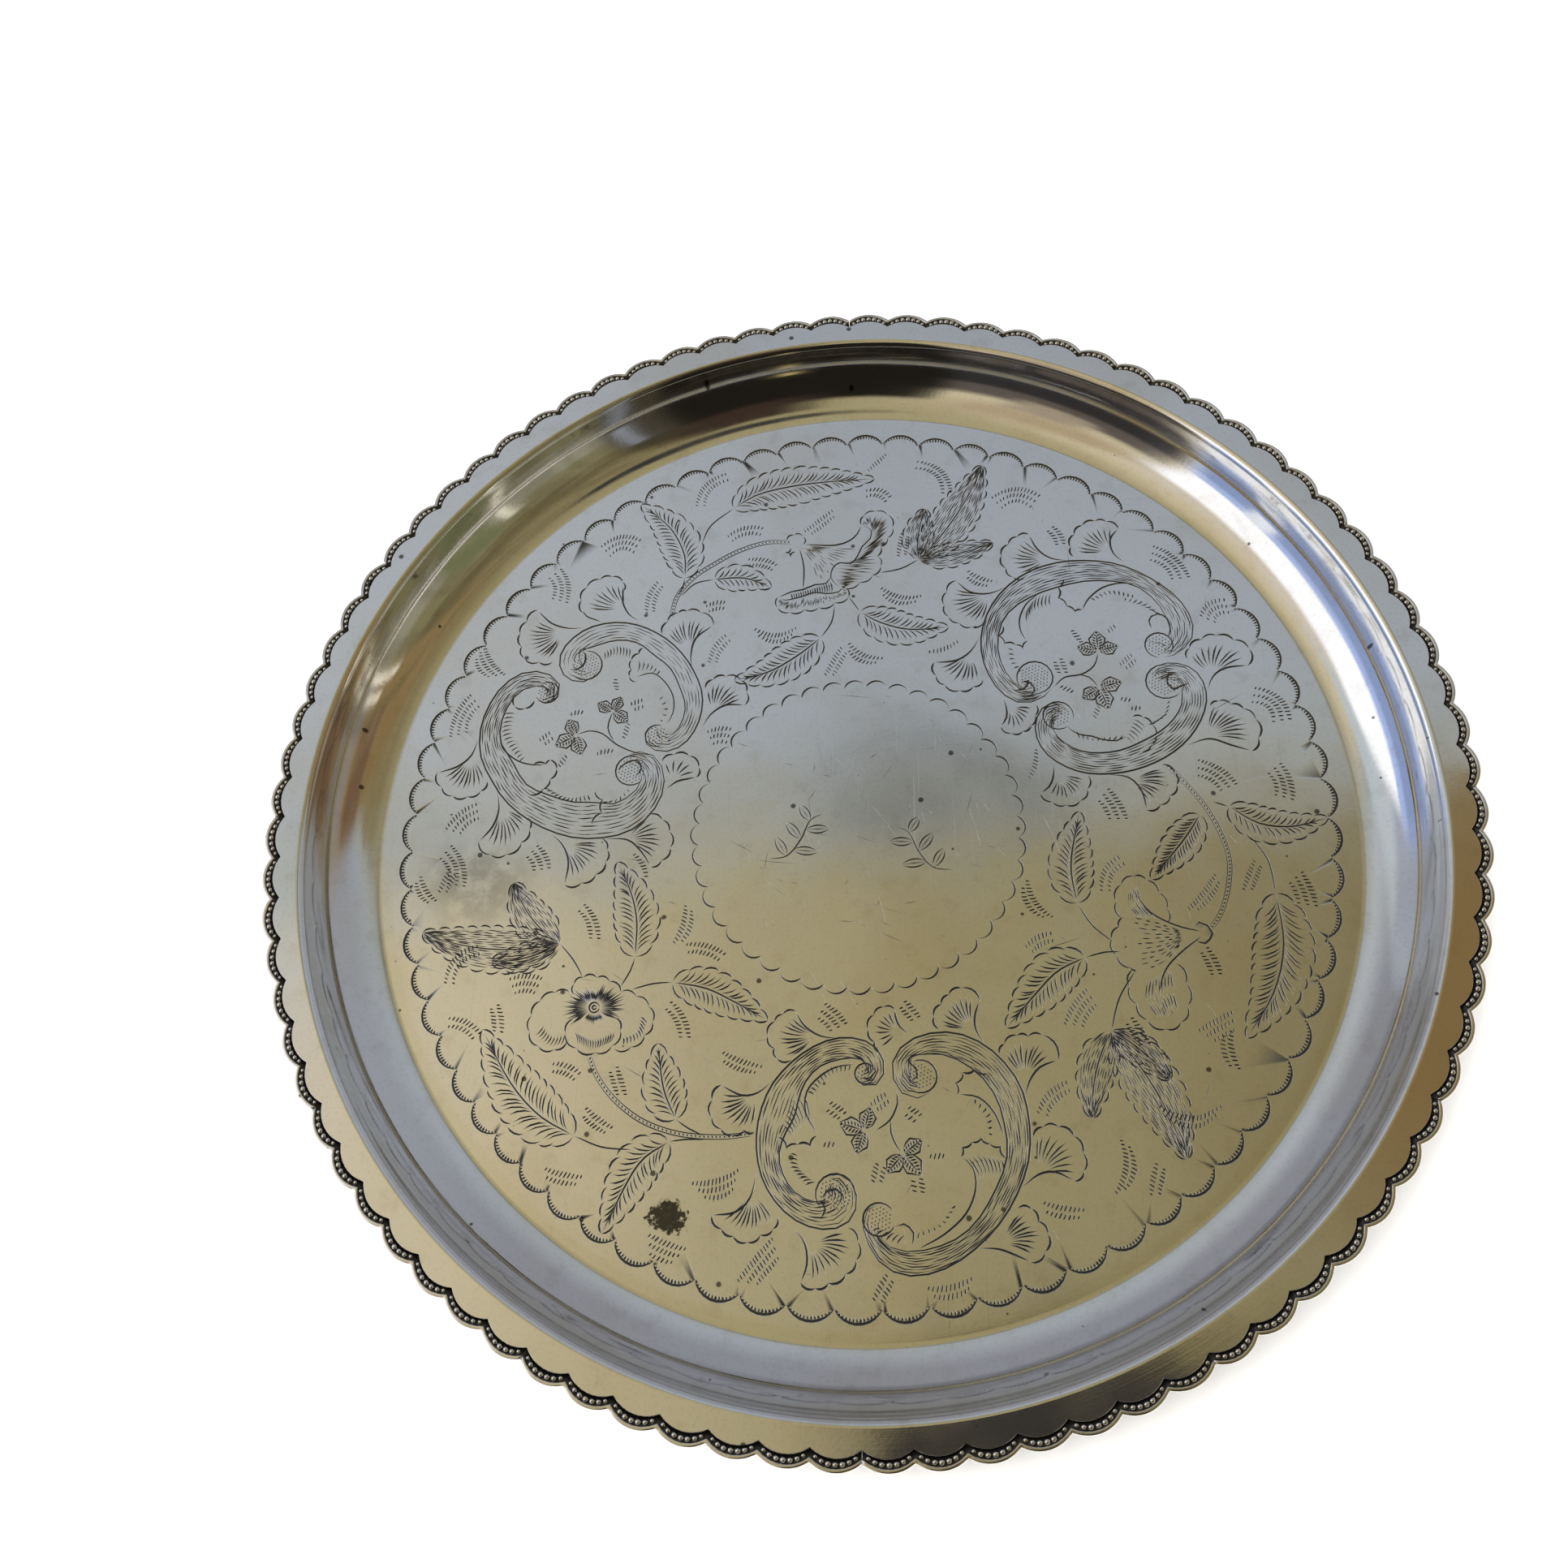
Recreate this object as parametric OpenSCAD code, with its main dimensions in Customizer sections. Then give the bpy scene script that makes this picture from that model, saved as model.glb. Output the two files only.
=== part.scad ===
// Round silver salver: a spun dish with a flat well, a wall that sweeps up in one deep cove, a tight
// shoulder and a narrow flange whose edge is cut into scallops. A struck border of beaded scallops, made
// in lengths, is soldered under the flange and stands out past it.
// +Z is up. The origin is at the middle of the underside, on the surface that the salver stands on.

/* [Dish] */
// Diameter over the tips of the border's scallops
overall_d = 305; // [280:5:340]
// Height from the underside to the top of the flange
rim_h = 17.3; // [17.1:0.1:17.7]
// Thickness of the spun sheet
sheet_t = 1; // [0.8:0.1:1]
// Width from the edge of the flat floor to the tips of the border
rim_band_w = 26.2; // [25.7:0.1:26.7]

/* [Wall] */
// Radius of the hollow in which the floor begins to turn up
foot_r = 6; // [5:0.5:7]
// Slope at which the hollow passes into the cove
foot_angle = 13.5; // [12:0.5:15]
// Radius of the cove that sweeps from the hollow up to the shoulder
cove_r = 18; // [17:0.1:18]
// Slope of the wall where the cove meets the shoulder
wall_angle = 80; // [79:0.5:81]

/* [Border] */
// Number of scallops round the rim
scallop_count = 84; // [72:12:96]
// Radius of one scallop's arc
scallop_r = 8.9; // [8:0.1:9.5]
// How far the border stands out past the tips of the flange
border_w = 3.1; // [2.9:0.1:3.6]
// Thickness of the border's strip
strip_t = 1.2; // [1:0.1:1.5]
// How far the strip runs in under the flange
strip_lap = 4.2; // [3.5:0.1:4.4]
// Width of the plain lip outside the beads
lip_w = 1.0; // [0.8:0.05:1.1]
// Height of the plain lip above the strip
lip_h = 0.6; // [0.5:0.05:0.8]

/* [Beads] */
// Number of beads in one scallop
bead_count = 7; // [5:1:7]
// Radius of the bead in the middle of a scallop
bead_r = 0.72; // [0.6:0.02:0.74]
// Radius of the bead at either end of a scallop
end_bead_r = 0.56; // [0.5:0.02:0.6]
// Distance between bead centres along the scallop
bead_pitch = 1.55; // [1.5:0.01:1.6]
// Gap between the beads and the lip
bead_gap = 0.08; // [0.05:0.01:0.12]
// Height of the bead centres above the strip
bead_rise = 0.2; // [0.05:0.05:0.25]

/* [Hidden] */

// The border is made in this many lengths
length_count = 12;
scallops_per_length = scallop_count / length_count;
scallop_pitch = 360 / scallop_count;

// Radii and heights of the dish, worked outwards from the floor
rim_r = overall_d / 2;
floor_r = rim_r - rim_band_w;
cove_centre_r = floor_r - (cove_r - foot_r) * sin(foot_angle);
cove_centre_h = sheet_t + foot_r + (cove_r - foot_r) * cos(foot_angle);
shoulder_r = (rim_h - cove_centre_h + cove_r * cos(wall_angle)) / (1 - cos(wall_angle));
flange_start_r = cove_centre_r + (cove_r + shoulder_r) * sin(wall_angle);

// The flange's scallops, and the border's scallops outside them
flange_tip_r = rim_r - border_w;
flange_arc_centre_r = flange_tip_r - scallop_r;
border_arc_centre_r = rim_r - scallop_r;

// Heights of the border's strip, which lies against the underside of the flange
strip_top_h = rim_h - sheet_t;
strip_bottom_h = strip_top_h - strip_t;
strip_inner_r = flange_tip_r - strip_lap;

// The beads lie along an arc just inside the lip
bead_arc_r = scallop_r - lip_w - bead_gap - bead_r;
bead_step = bead_pitch / bead_arc_r * 180 / PI;

// Clearance between two lengths of border, filled with solder on the real rim
seam_gap = 0.1;
length_angle = 360 / length_count;
fitted_pitch = (length_angle - seam_gap / rim_r * 180 / PI) / scallops_per_length;

// How far cutters run past what they cut
over = 1;
foot_steps = 5;
cove_steps = 20;
shoulder_steps = 8;
scallop_steps = 12;
turn_fn = 180;
arc_fn = 64;
bead_fn = 24;

function arc_points(centre_r, centre_h, radius, from, to, steps) =
    [for (i = [0 : steps])
        let (angle = from + (to - from) * i / steps)
        [centre_r + radius * cos(angle), centre_h + radius * sin(angle)]];

// Radius at which two neighbouring scallops meet
function valley_r(centre_r, radius, pitch) =
    centre_r * cos(pitch / 2) + sqrt(pow(radius, 2) - pow(centre_r * sin(pitch / 2), 2));

function turned(point, angle) = [
    point[0] * cos(angle) - point[1] * sin(angle),
    point[0] * sin(angle) + point[1] * cos(angle)
];

// The scalloped edge of one length, as arcs that meet in valleys
function scalloped_edge(centre_r, radius) =
    let (
        meet_r = valley_r(centre_r, radius, fitted_pitch),
        half_arc = atan2(meet_r * sin(fitted_pitch / 2), meet_r * cos(fitted_pitch / 2) - centre_r),
        middle = (scallops_per_length - 1) / 2
    )
    [for (i = [0 : scallops_per_length - 1])
        for (point = arc_points(centre_r, 0, radius,
                -half_arc, half_arc - 2 * half_arc / scallop_steps, scallop_steps - 1))
            turned(point, (i - middle) * fitted_pitch),
        turned([meet_r, 0], scallops_per_length * fitted_pitch / 2)
    ];

function reversed(points) = [for (i = [len(points) - 1 : -1 : 0]) points[i]];

// The surface that is seen from above, from the middle of the floor out past the flange's tips
function upper_profile() =
    concat(
        [[0, sheet_t]],
        arc_points(floor_r, sheet_t + foot_r, foot_r,
            -90, foot_angle * (1 - 1 / foot_steps) - 90, foot_steps - 1),
        arc_points(cove_centre_r, cove_centre_h, cove_r, foot_angle - 90, wall_angle - 90, cove_steps),
        arc_points(flange_start_r, rim_h - shoulder_r, shoulder_r,
            90 + wall_angle * (1 - 1 / shoulder_steps), 90, shoulder_steps - 1),
        [[rim_r, rim_h]]
    );

// The underside, one sheet thickness away, from outside in
function lower_profile() =
    concat(
        [[rim_r, rim_h - sheet_t]],
        arc_points(flange_start_r, rim_h - shoulder_r, shoulder_r - sheet_t, 90,
            90 + wall_angle * (1 - 1 / shoulder_steps), shoulder_steps - 1),
        arc_points(cove_centre_r, cove_centre_h, cove_r + sheet_t,
            wall_angle - 90, foot_angle - 90, cove_steps),
        arc_points(floor_r, sheet_t + foot_r, foot_r + sheet_t,
            foot_angle * (1 - 1 / foot_steps) - 90, -90, foot_steps - 1),
        [[0, 0]]
    );

// One disc for each scallop, from which the flange's edge is cut, round a middle that keeps the rest
module flange_outline() {
    cylinder(h = rim_h + over, r = flange_start_r + over, $fn = turn_fn);
    for (i = [0 : scallop_count - 1])
        rotate((i + 0.5) * scallop_pitch)
            translate([flange_arc_centre_r, 0, strip_top_h - over])
                cylinder(h = sheet_t + 2 * over, r = scallop_r, $fn = arc_fn);
}

module body() {
    color("silver")
        intersection() {
            rotate_extrude($fn = turn_fn)
                polygon(concat(upper_profile(), lower_profile()));
            flange_outline();
        }
}

// The flat strip that the flange rests on
module strip() {
    half_length = scallops_per_length * fitted_pitch / 2;
    inner_edge = arc_points(0, 0, strip_inner_r, half_length, -half_length, 2 * scallop_steps);
    translate([0, 0, strip_bottom_h])
        linear_extrude(strip_t)
            polygon(concat(scalloped_edge(border_arc_centre_r, scallop_r), inner_edge));
}

// The plain lip along the strip's scalloped edge
module lip() {
    outer_edge = scalloped_edge(border_arc_centre_r, scallop_r);
    inner_edge = scalloped_edge(border_arc_centre_r, scallop_r - lip_w);
    translate([0, 0, strip_top_h])
        linear_extrude(lip_h)
            polygon(concat(outer_edge, reversed(inner_edge)));
}

// The row of beads in one scallop, larger towards the middle
module bead_row() {
    middle = (bead_count - 1) / 2;
    for (i = [0 : bead_count - 1]) {
        place = (i - middle) / middle;
        size = end_bead_r + (bead_r - end_bead_r) * (1 - pow(place, 2));
        angle = (i - middle) * bead_step;
        translate([
            border_arc_centre_r + bead_arc_r * cos(angle),
            bead_arc_r * sin(angle),
            strip_top_h + bead_rise
        ])
            sphere(r = size, $fn = bead_fn);
    }
}

// One length of border, counted anticlockwise from +X
module border_length(index) {
    middle = (scallops_per_length - 1) / 2;
    color("gainsboro")
        rotate((index - 0.5) * length_angle) {
            strip();
            lip();
            for (i = [0 : scallops_per_length - 1])
                rotate((i - middle) * fitted_pitch)
                    bead_row();
        }
}

body();
border_length(1);  // border_length_01
border_length(2);  // border_length_02
border_length(3);  // border_length_03
border_length(4);  // border_length_04
border_length(5);  // border_length_05
border_length(6);  // border_length_06
border_length(7);  // border_length_07
border_length(8);  // border_length_08
border_length(9);  // border_length_09
border_length(10);  // border_length_10
border_length(11);  // border_length_11
border_length(12);  // border_length_12
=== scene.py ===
"""Round silver salver: an engraved dish with a beaded, scalloped border, on a pale table in soft light."""
import cmath
import math
import random

import bpy
import numpy as np
from mathutils import Matrix, Vector
from mathutils.geometry import delaunay_2d_cdt


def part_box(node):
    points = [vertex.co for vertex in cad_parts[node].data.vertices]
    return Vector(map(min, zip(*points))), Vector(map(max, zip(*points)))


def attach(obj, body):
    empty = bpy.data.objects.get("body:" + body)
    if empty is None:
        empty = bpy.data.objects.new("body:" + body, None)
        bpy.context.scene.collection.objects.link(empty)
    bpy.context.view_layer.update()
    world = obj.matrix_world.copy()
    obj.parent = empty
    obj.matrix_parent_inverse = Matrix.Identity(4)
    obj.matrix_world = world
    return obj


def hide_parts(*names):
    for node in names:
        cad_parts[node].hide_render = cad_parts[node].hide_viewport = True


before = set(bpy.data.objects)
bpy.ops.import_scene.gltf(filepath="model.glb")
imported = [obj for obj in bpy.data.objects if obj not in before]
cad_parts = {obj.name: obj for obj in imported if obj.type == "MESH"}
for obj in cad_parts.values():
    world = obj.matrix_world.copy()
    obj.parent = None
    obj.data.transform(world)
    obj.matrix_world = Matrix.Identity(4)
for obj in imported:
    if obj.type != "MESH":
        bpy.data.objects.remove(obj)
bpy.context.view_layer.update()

# ---------------------------------------------------------------- dimensions, in millimetres
MM = 0.001
RIM_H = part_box("body")[1][2] / MM         # top of the flange
SHEET_T = 1.0
SCALLOPS = 84
SCALLOP_R = 8.9
SCALLOP_PITCH = 2 * math.pi / SCALLOPS
LENGTHS = 12
SEAM_GAP = 0.1
RIM_TIP_R = 152.5
RIM_BAND_W = 26.2
BORDER_W = 3.1
FLOOR_R = RIM_TIP_R - RIM_BAND_W
FOOT_R = 6.0
FOOT_ANGLE = 13.5
FOOT_SIN, FOOT_COS = math.sin(math.radians(FOOT_ANGLE)), math.cos(math.radians(FOOT_ANGLE))
COVE_R = 18.0
COVE_CENTRE_R = FLOOR_R - (COVE_R - FOOT_R) * FOOT_SIN
COVE_CENTRE_H = SHEET_T + FOOT_R + (COVE_R - FOOT_R) * FOOT_COS
WALL_ANGLE = 80
WALL_SIN, WALL_COS = math.sin(math.radians(WALL_ANGLE)), math.cos(math.radians(WALL_ANGLE))
SHOULDER_R = (RIM_H - COVE_CENTRE_H + COVE_R * WALL_COS) / (1 - WALL_COS)
FLANGE_START_R = COVE_CENTRE_R + (COVE_R + SHOULDER_R) * WALL_SIN
FLANGE_ARC_CENTRE_R = RIM_TIP_R - BORDER_W - SCALLOP_R
BORDER_ARC_CENTRE_R = RIM_TIP_R - SCALLOP_R
STRIP_INNER_R = 145.2
STRIP_T = 1.2
STRIP_TOP_H = RIM_H - SHEET_T
STRIP_LOW_H = STRIP_TOP_H - STRIP_T
LIP_TOP_H = STRIP_TOP_H + 0.6
BEADS = 7
END_BEAD_R = 0.56
MIDDLE_BEAD_R = 0.72
BEAD_RISE = 0.2
BEAD_ARC_R = 7.1
BEAD_STEP = math.radians(12.5)

# ---------------------------------------------------------------- fineness of the meshes
TURN_STEPS = 192          # round the dish
SCALLOP_STEPS = 10        # along one scallop of the flange
BORDER_STEPS = 16         # along one scallop of the border
BEAD_SIDES = 16

FULL_DIRT_DEPTH = 0.11    # grooves at least this deep are fully dark at the bottom

# ---------------------------------------------------------------- plane curves, as complex numbers


def smooth(points, step=1.5):
    """Points about step apart along a smooth curve through the given ones."""
    pts = [complex(*p) if isinstance(p, tuple) else complex(p) for p in points]
    if len(pts) == 2:
        count = max(2, int(abs(pts[1] - pts[0]) / step) + 1)
        return [pts[0] + (pts[1] - pts[0]) * i / count for i in range(count + 1)]
    ext = [2 * pts[0] - pts[1]] + pts + [2 * pts[-1] - pts[-2]]
    out = []
    for a, b, c, d in zip(ext, ext[1:], ext[2:], ext[3:]):
        count = max(1, int(round(abs(c - b) / step)))
        for i in range(count):
            t = i / count
            out.append(0.5 * (2 * b + (c - a) * t + (2 * a - 5 * b + 4 * c - d) * t * t
                              + (3 * b - a - 3 * c + d) * t ** 3))
    return out + [pts[-1]]


def resample(pts, count):
    """The polyline's points at count + 1 even distances."""
    pts = np.array(pts, complex)
    run = np.concatenate([[0], np.cumsum(abs(np.diff(pts)))])
    at = np.linspace(0, run[-1], count + 1)
    return list(np.interp(at, run, pts.real) + 1j * np.interp(at, run, pts.imag))


def run_length(pts):
    return sum(abs(b - a) for a, b in zip(pts, pts[1:]))


def stretch(t, run, steps):
    """First and last index of the part of an evenly divided line that starts at share t."""
    return int(steps * t), min(steps, int(steps * (t + run)) + 1)


def arc(a, b, bulge, count=6):
    """An arc from a to b that stands bulge to the left of the chord."""
    chord = b - a
    out = []
    for i in range(count + 1):
        t = i / count
        out.append(a + chord * t + chord / abs(chord) * 1j * bulge * math.sin(math.pi * t) ** 0.8)
    return out


def normals(pts):
    """Unit vectors to the left of the polyline at each point."""
    pts = np.array(pts, complex)
    way = np.gradient(pts)
    way[abs(way) < 1e-9] = 1
    return way / abs(way) * 1j


# ---------------------------------------------------------------- the engraver's cuts
CUTS = []
RIB_STEPS = 40            # points along a leaf's rib or a husk's edge
BAND_STEPS = 80           # points along a scroll
rng = random.Random(11)


def cut(pts, width, peak=0.5, plump=0.8):
    """One burin cut: pointed at both ends, widest at peak of its length, and as deep as it is wide."""
    pts = [complex(*p) if isinstance(p, tuple) else complex(p) for p in pts]
    power = math.log(0.5) / math.log(peak)
    ts = np.linspace(0, 1, len(pts))
    half = 0.5 * width * np.sin(np.pi * ts ** power).clip(0) ** plump
    CUTS.append((np.array(pts), half))


def line(points, width=0.45, step=1.6, peak=0.5, plump=0.35):
    """A drawn line through points."""
    cut(smooth(points, step), width, peak, plump)


def dash(centre, way, width=0.5):
    """A short tick along way, centred on centre."""
    cut([centre - way / 2, centre + way * 0.04, centre + way / 2], width)


def tick(centre, way, width):
    """A longer tick, as wide near its ends as in its middle, and a little bent."""
    bend = way * 0.05j
    half, near = way / 2, way * 0.28
    cut([centre - half + bend, centre - near, centre + near, centre + half + bend], width, 0.5, 0.3)


def jitter(size):
    return complex(rng.uniform(-size, size), rng.uniform(-size, size))


def scalloped(points, width=0.6, bulge=0.32, peak=0.6, side=1):
    """A chain of small arcs, bulging to the left of the chain, or to the right if side is -1."""
    pts = [complex(*p) if isinstance(p, tuple) else complex(p) for p in points]
    for a, b in zip(pts, pts[1:]):
        over = (b - a) * 0.06
        lobe = arc(a - over, b + over, side * bulge * abs(b - a), 5)
        cut(lobe, width * rng.uniform(0.8, 1.15), peak, 0.45)


def leaf(midrib, width, stem=None, dark=False):
    """A serrated leaf: midrib, overlapping cuts round its edge, and slanting veins."""
    rib = smooth(midrib, 1.0)
    length = run_length(rib)
    rib = resample(rib, RIB_STEPS)
    side_way = normals(rib)
    half = [0.5 * width * math.sin(math.pi * (i / RIB_STEPS) ** 0.72) ** 0.85 for i in range(RIB_STEPS + 1)]
    cut(resample(rib, 12), 0.5, 0.4, 0.4)
    if stem:
        line(stem, 0.42)
    teeth = max(5, int(length / 3.1))
    veins = max(6, int(length / (1.15 if dark else 1.75)))
    for side in (1, -1):
        def edge(t, share):
            i = min(RIB_STEPS, max(0, int(round(t * RIB_STEPS))))
            return rib[i] + side * side_way[i] * half[i] * share
        for k in range(teeth):
            a = edge(k / teeth, 0.94)
            b = edge((k + 1) / teeth, 1.1 if k < teeth - 1 else 0)
            tooth = arc(a, b + (b - a) * 0.1, side * 0.2 * abs(b - a), 4)
            cut(tooth, 0.52 * rng.uniform(0.8, 1.2), 0.6, 0.35)
        for k in range(veins):
            t = 0.04 + 0.82 * k / veins + rng.uniform(-0.006, 0.006)
            a = edge(t, 0.06)
            b = edge(min(t + 0.32 * width / length, 0.98), 0.88 + rng.uniform(-0.08, 0.06))
            vein = arc(a, b, -side * 0.1 * abs(b - a), 3)
            cut(vein, (0.5 if dark else 0.44) * rng.uniform(0.8, 1.2), 0.5, 0.6)


def dark_lobe(base, tip, width, bend=0.0):
    """One lobe of a shaded leaf: a serrated edge filled with fine cuts that run along it."""
    base, tip = complex(*base), complex(*tip)
    rib = resample(arc(base, tip, bend, 20), RIB_STEPS)
    side_way = normals(rib)
    half = [0.5 * width * math.sin(math.pi * min(1, (i / RIB_STEPS) ** 0.8)) ** 0.75
            for i in range(RIB_STEPS + 1)]
    length = abs(tip - base)
    teeth = max(5, int(length / 3.4))
    for side in (1, -1):
        for k in range(1, teeth):
            i, j = int(RIB_STEPS * k / teeth), int(RIB_STEPS * (k + 1) / teeth)
            a = rib[i] + side * side_way[i] * half[i] * 0.98
            b = rib[j] + side * side_way[j] * half[j] * 1.12
            cut(arc(a, b, side * 0.2 * abs(b - a), 4), 0.5, 0.6, 0.4)
    rows = max(3, int(width / 1.25))
    for r in range(-rows, rows + 1):
        share = 0.9 * r / rows
        t = rng.uniform(0.0, 0.08)
        while t < 0.93:
            run = rng.uniform(0.1, 0.2) * 26 / length
            i, j = stretch(t, run, RIB_STEPS)
            row = [rib[k] + side_way[k] * half[k] * share for k in range(i, j + 1)]
            cut([p + jitter(0.12) for p in resample(row, 3)], rng.uniform(0.24, 0.4))
            t += run * 0.95 + rng.uniform(0.005, 0.03)
    cut(resample(rib, 10), 0.4, 0.4, 0.5)


def shaded_leaf(base, lobes, stem):
    """A leaf of three shaded lobes; each lobe is its tip, its width and its bend."""
    for tip, width, bend in lobes:
        dark_lobe(base, tip, width, bend)
    line(stem, 0.45)


def husk(edge, side_line, ribs=9):
    """A fluted husk: scallops along its edge, one long flared side, and ribs that fan out to the edge."""
    pts = [complex(*p) for p in edge]
    root = complex(*side_line[0])
    middle = sum(pts) / len(pts)
    turn = ((pts[-1] - pts[0]).conjugate() * (middle - root)).imag
    scalloped(pts, 0.62, 0.26, 0.55, 1 if turn > 0 else -1)
    line(side_line, 0.62, 1.4, 0.6, 0.6)
    along = resample(pts, RIB_STEPS)
    for k in range(ribs):
        u = 0.1 + 0.76 * k / (ribs - 1) + rng.uniform(-0.01, 0.01)
        target = along[int(RIB_STEPS * u)]
        start = root + (target - root) * rng.uniform(0.28, 0.34)
        start += (middle - start) * 0.3
        end = root + (target - root) * rng.uniform(0.86, 0.92)
        cut(arc(start, end, 0.05 * abs(end - start), 3), 0.5 * rng.uniform(0.8, 1.2), 0.6, 0.6)


def band(outer, inner, rows=7, width=0.34):
    """The shaded back of a scroll: its two edges and broken cuts that flow between them."""
    outer = resample(smooth(outer, 1.0), BAND_STEPS)
    inner = resample(smooth(inner, 1.0), BAND_STEPS)
    cut(resample(outer, 34), 0.55, 0.45, 0.3)
    cut(resample(inner, 24), 0.5, 0.45, 0.5)
    length = run_length(outer)
    for r in range(1, rows):
        share = r / rows
        t = rng.uniform(0.01, 0.05)
        while t < 0.94:
            run = rng.uniform(5, 11) / length
            i, j = stretch(t, run, BAND_STEPS)
            row = [outer[k] + (inner[k] - outer[k]) * share for k in range(i, j + 1)]
            if abs(outer[i] - inner[i]) > 1.2:
                cut([p + jitter(0.1) for p in resample(row, 3)], width * rng.uniform(0.7, 1.2))
            t += run + rng.uniform(0.3, 1.4) / length


def comb(start_line, end_line, count, width=0.4):
    """Curved shading cuts from one line to another, as in the hollow of a scroll."""
    a = resample(smooth(start_line, 1.0), count - 1)
    b = resample(smooth(end_line, 1.0), count - 1)
    for p, q in zip(a, b):
        cut(arc(p, q, 0.1 * abs(q - p), 3), width * rng.uniform(0.8, 1.2), 0.35)


def ball(x, y, radius, start=0, sweep=360, dots=True):
    """A scroll's round end: its outline and stippled dots."""
    centre = complex(x, y)
    steps = max(8, int(sweep / 20))
    ring = [centre + cmath.rect(radius, math.radians(start + sweep * i / steps)) for i in range(steps + 1)]
    cut(ring, 0.5, 0.5, 0.35)
    if dots:
        pitch = 0.95
        reach = int(radius / pitch) + 1
        for i in range(-reach, reach + 1):
            for j in range(-reach, reach + 1):
                p = complex(i + 0.5 * (j % 2), j * 0.87) * pitch + jitter(0.1)
                if abs(p) < radius * 0.82:
                    dash(centre + p * cmath.exp(0.4j), cmath.rect(0.5, 0.9), 0.42)


def trefoil(x, y, tips):
    """Three small shaded leaflets."""
    centre = complex(x, y)
    for tip in tips:
        axis = complex(*tip) - centre
        length, unit = abs(axis), axis / abs(axis)
        cut([centre, centre + axis * 0.5, centre + axis], 0.5)
        for side in (1, -1):
            edge = [centre + unit * length * (t + 0.05 * (k % 2))
                    + side * 1j * unit * length * (0.31 + 0.05 * (k % 2)) * math.sin(math.pi * t ** 0.9)
                    for k, t in enumerate((0.04, 0.2, 0.38, 0.56, 0.76, 1))]
            cut(edge, 0.5, 0.6, 0.5)
            for k in range(7):
                t = 0.08 + 0.125 * k
                a = centre + unit * length * t
                spread = 0.28 * length * math.sin(math.pi * (t + 0.1) ** 0.9)
                b = a + unit * 0.13 * length + side * 1j * unit * spread
                cut([a, (a + b) / 2, b], 0.56)


def puff(x, y, angle, length, rows=2, bend=0.18):
    """Rows of short ticks in a bent, tapering cluster."""
    centre, turn = complex(x, y), cmath.exp(1j * math.radians(angle))
    for r in range(rows):
        count = int(length * (1 - 0.18 * r) / 0.92)
        for k in range(count):
            t = (k + 0.5) / count - 0.5
            size = 2.12 * (1 - (2 * t) ** 2 * 0.6) * (1 - 0.1 * r)
            lift = bend * length * (0.25 - t * t) * 4 - r * 1.9
            p = complex(t * length * (1 - 0.18 * r), lift)
            way = complex(0.34 + bend * t * 6, 1) * size * 0.88
            tick(centre + turn * (p + jitter(0.06)), turn * way, rng.uniform(0.33, 0.43))


def rope(points):
    """A stem drawn as a twisted cord: two fine edges with slanting ticks between them."""
    pts = smooth(points, 1.05)
    side_way = normals(pts)
    for side in (0.55, -0.55):
        cut([p + n * side for p, n in zip(pts, side_way)], 0.3, 0.5, 0.3)
    for p, n in zip(pts[1:-1], side_way[1:-1]):
        dash(p, n * 0.9 * cmath.exp(0.7j), 0.5)


def ruffle(outer, inner, hatch=0.62):
    """A flower's turned-back rim: a lobed outer edge, an inner edge, and shading between them."""
    scalloped(outer, 0.5, 0.24)
    line(inner, 0.45)
    a = smooth(outer, 0.6)
    count = int(run_length(a) / hatch)
    a = resample(a, count)
    b = resample(smooth(inner, 0.6), count)
    for p, q in zip(a, b):
        if abs(q - p) < 0.8:
            continue
        near, far = rng.uniform(0.04, 0.3), rng.uniform(0.6, 0.95)
        if rng.random() < 0.5:
            near, far = rng.uniform(0.3, 0.5), rng.uniform(0.8, 1.0)
        cut([q + (p - q) * near, q + (p - q) * (near + far) / 2 + jitter(0.1), q + (p - q) * far],
            0.34 * rng.uniform(0.8, 1.2))


def flow(lines, rows, breaks=(4, 8), width=0.32):
    """Broken shading cuts that pass from the first line to the second."""
    first, second = (resample(smooth(pts, 1.0), RIB_STEPS) for pts in lines)
    length = run_length(first)
    for r in range(rows + 1):
        share = r / rows
        row = [p + (q - p) * share for p, q in zip(first, second)]
        t = rng.uniform(0, 0.1)
        while t < 0.92:
            run = rng.uniform(*breaks) / length
            i, j = stretch(t, run, RIB_STEPS)
            cut([p + jitter(0.08) for p in resample(row[i:j + 1], 3)], width * rng.uniform(0.7, 1.2))
            t += run + rng.uniform(0.4, 1.5) / length


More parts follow.
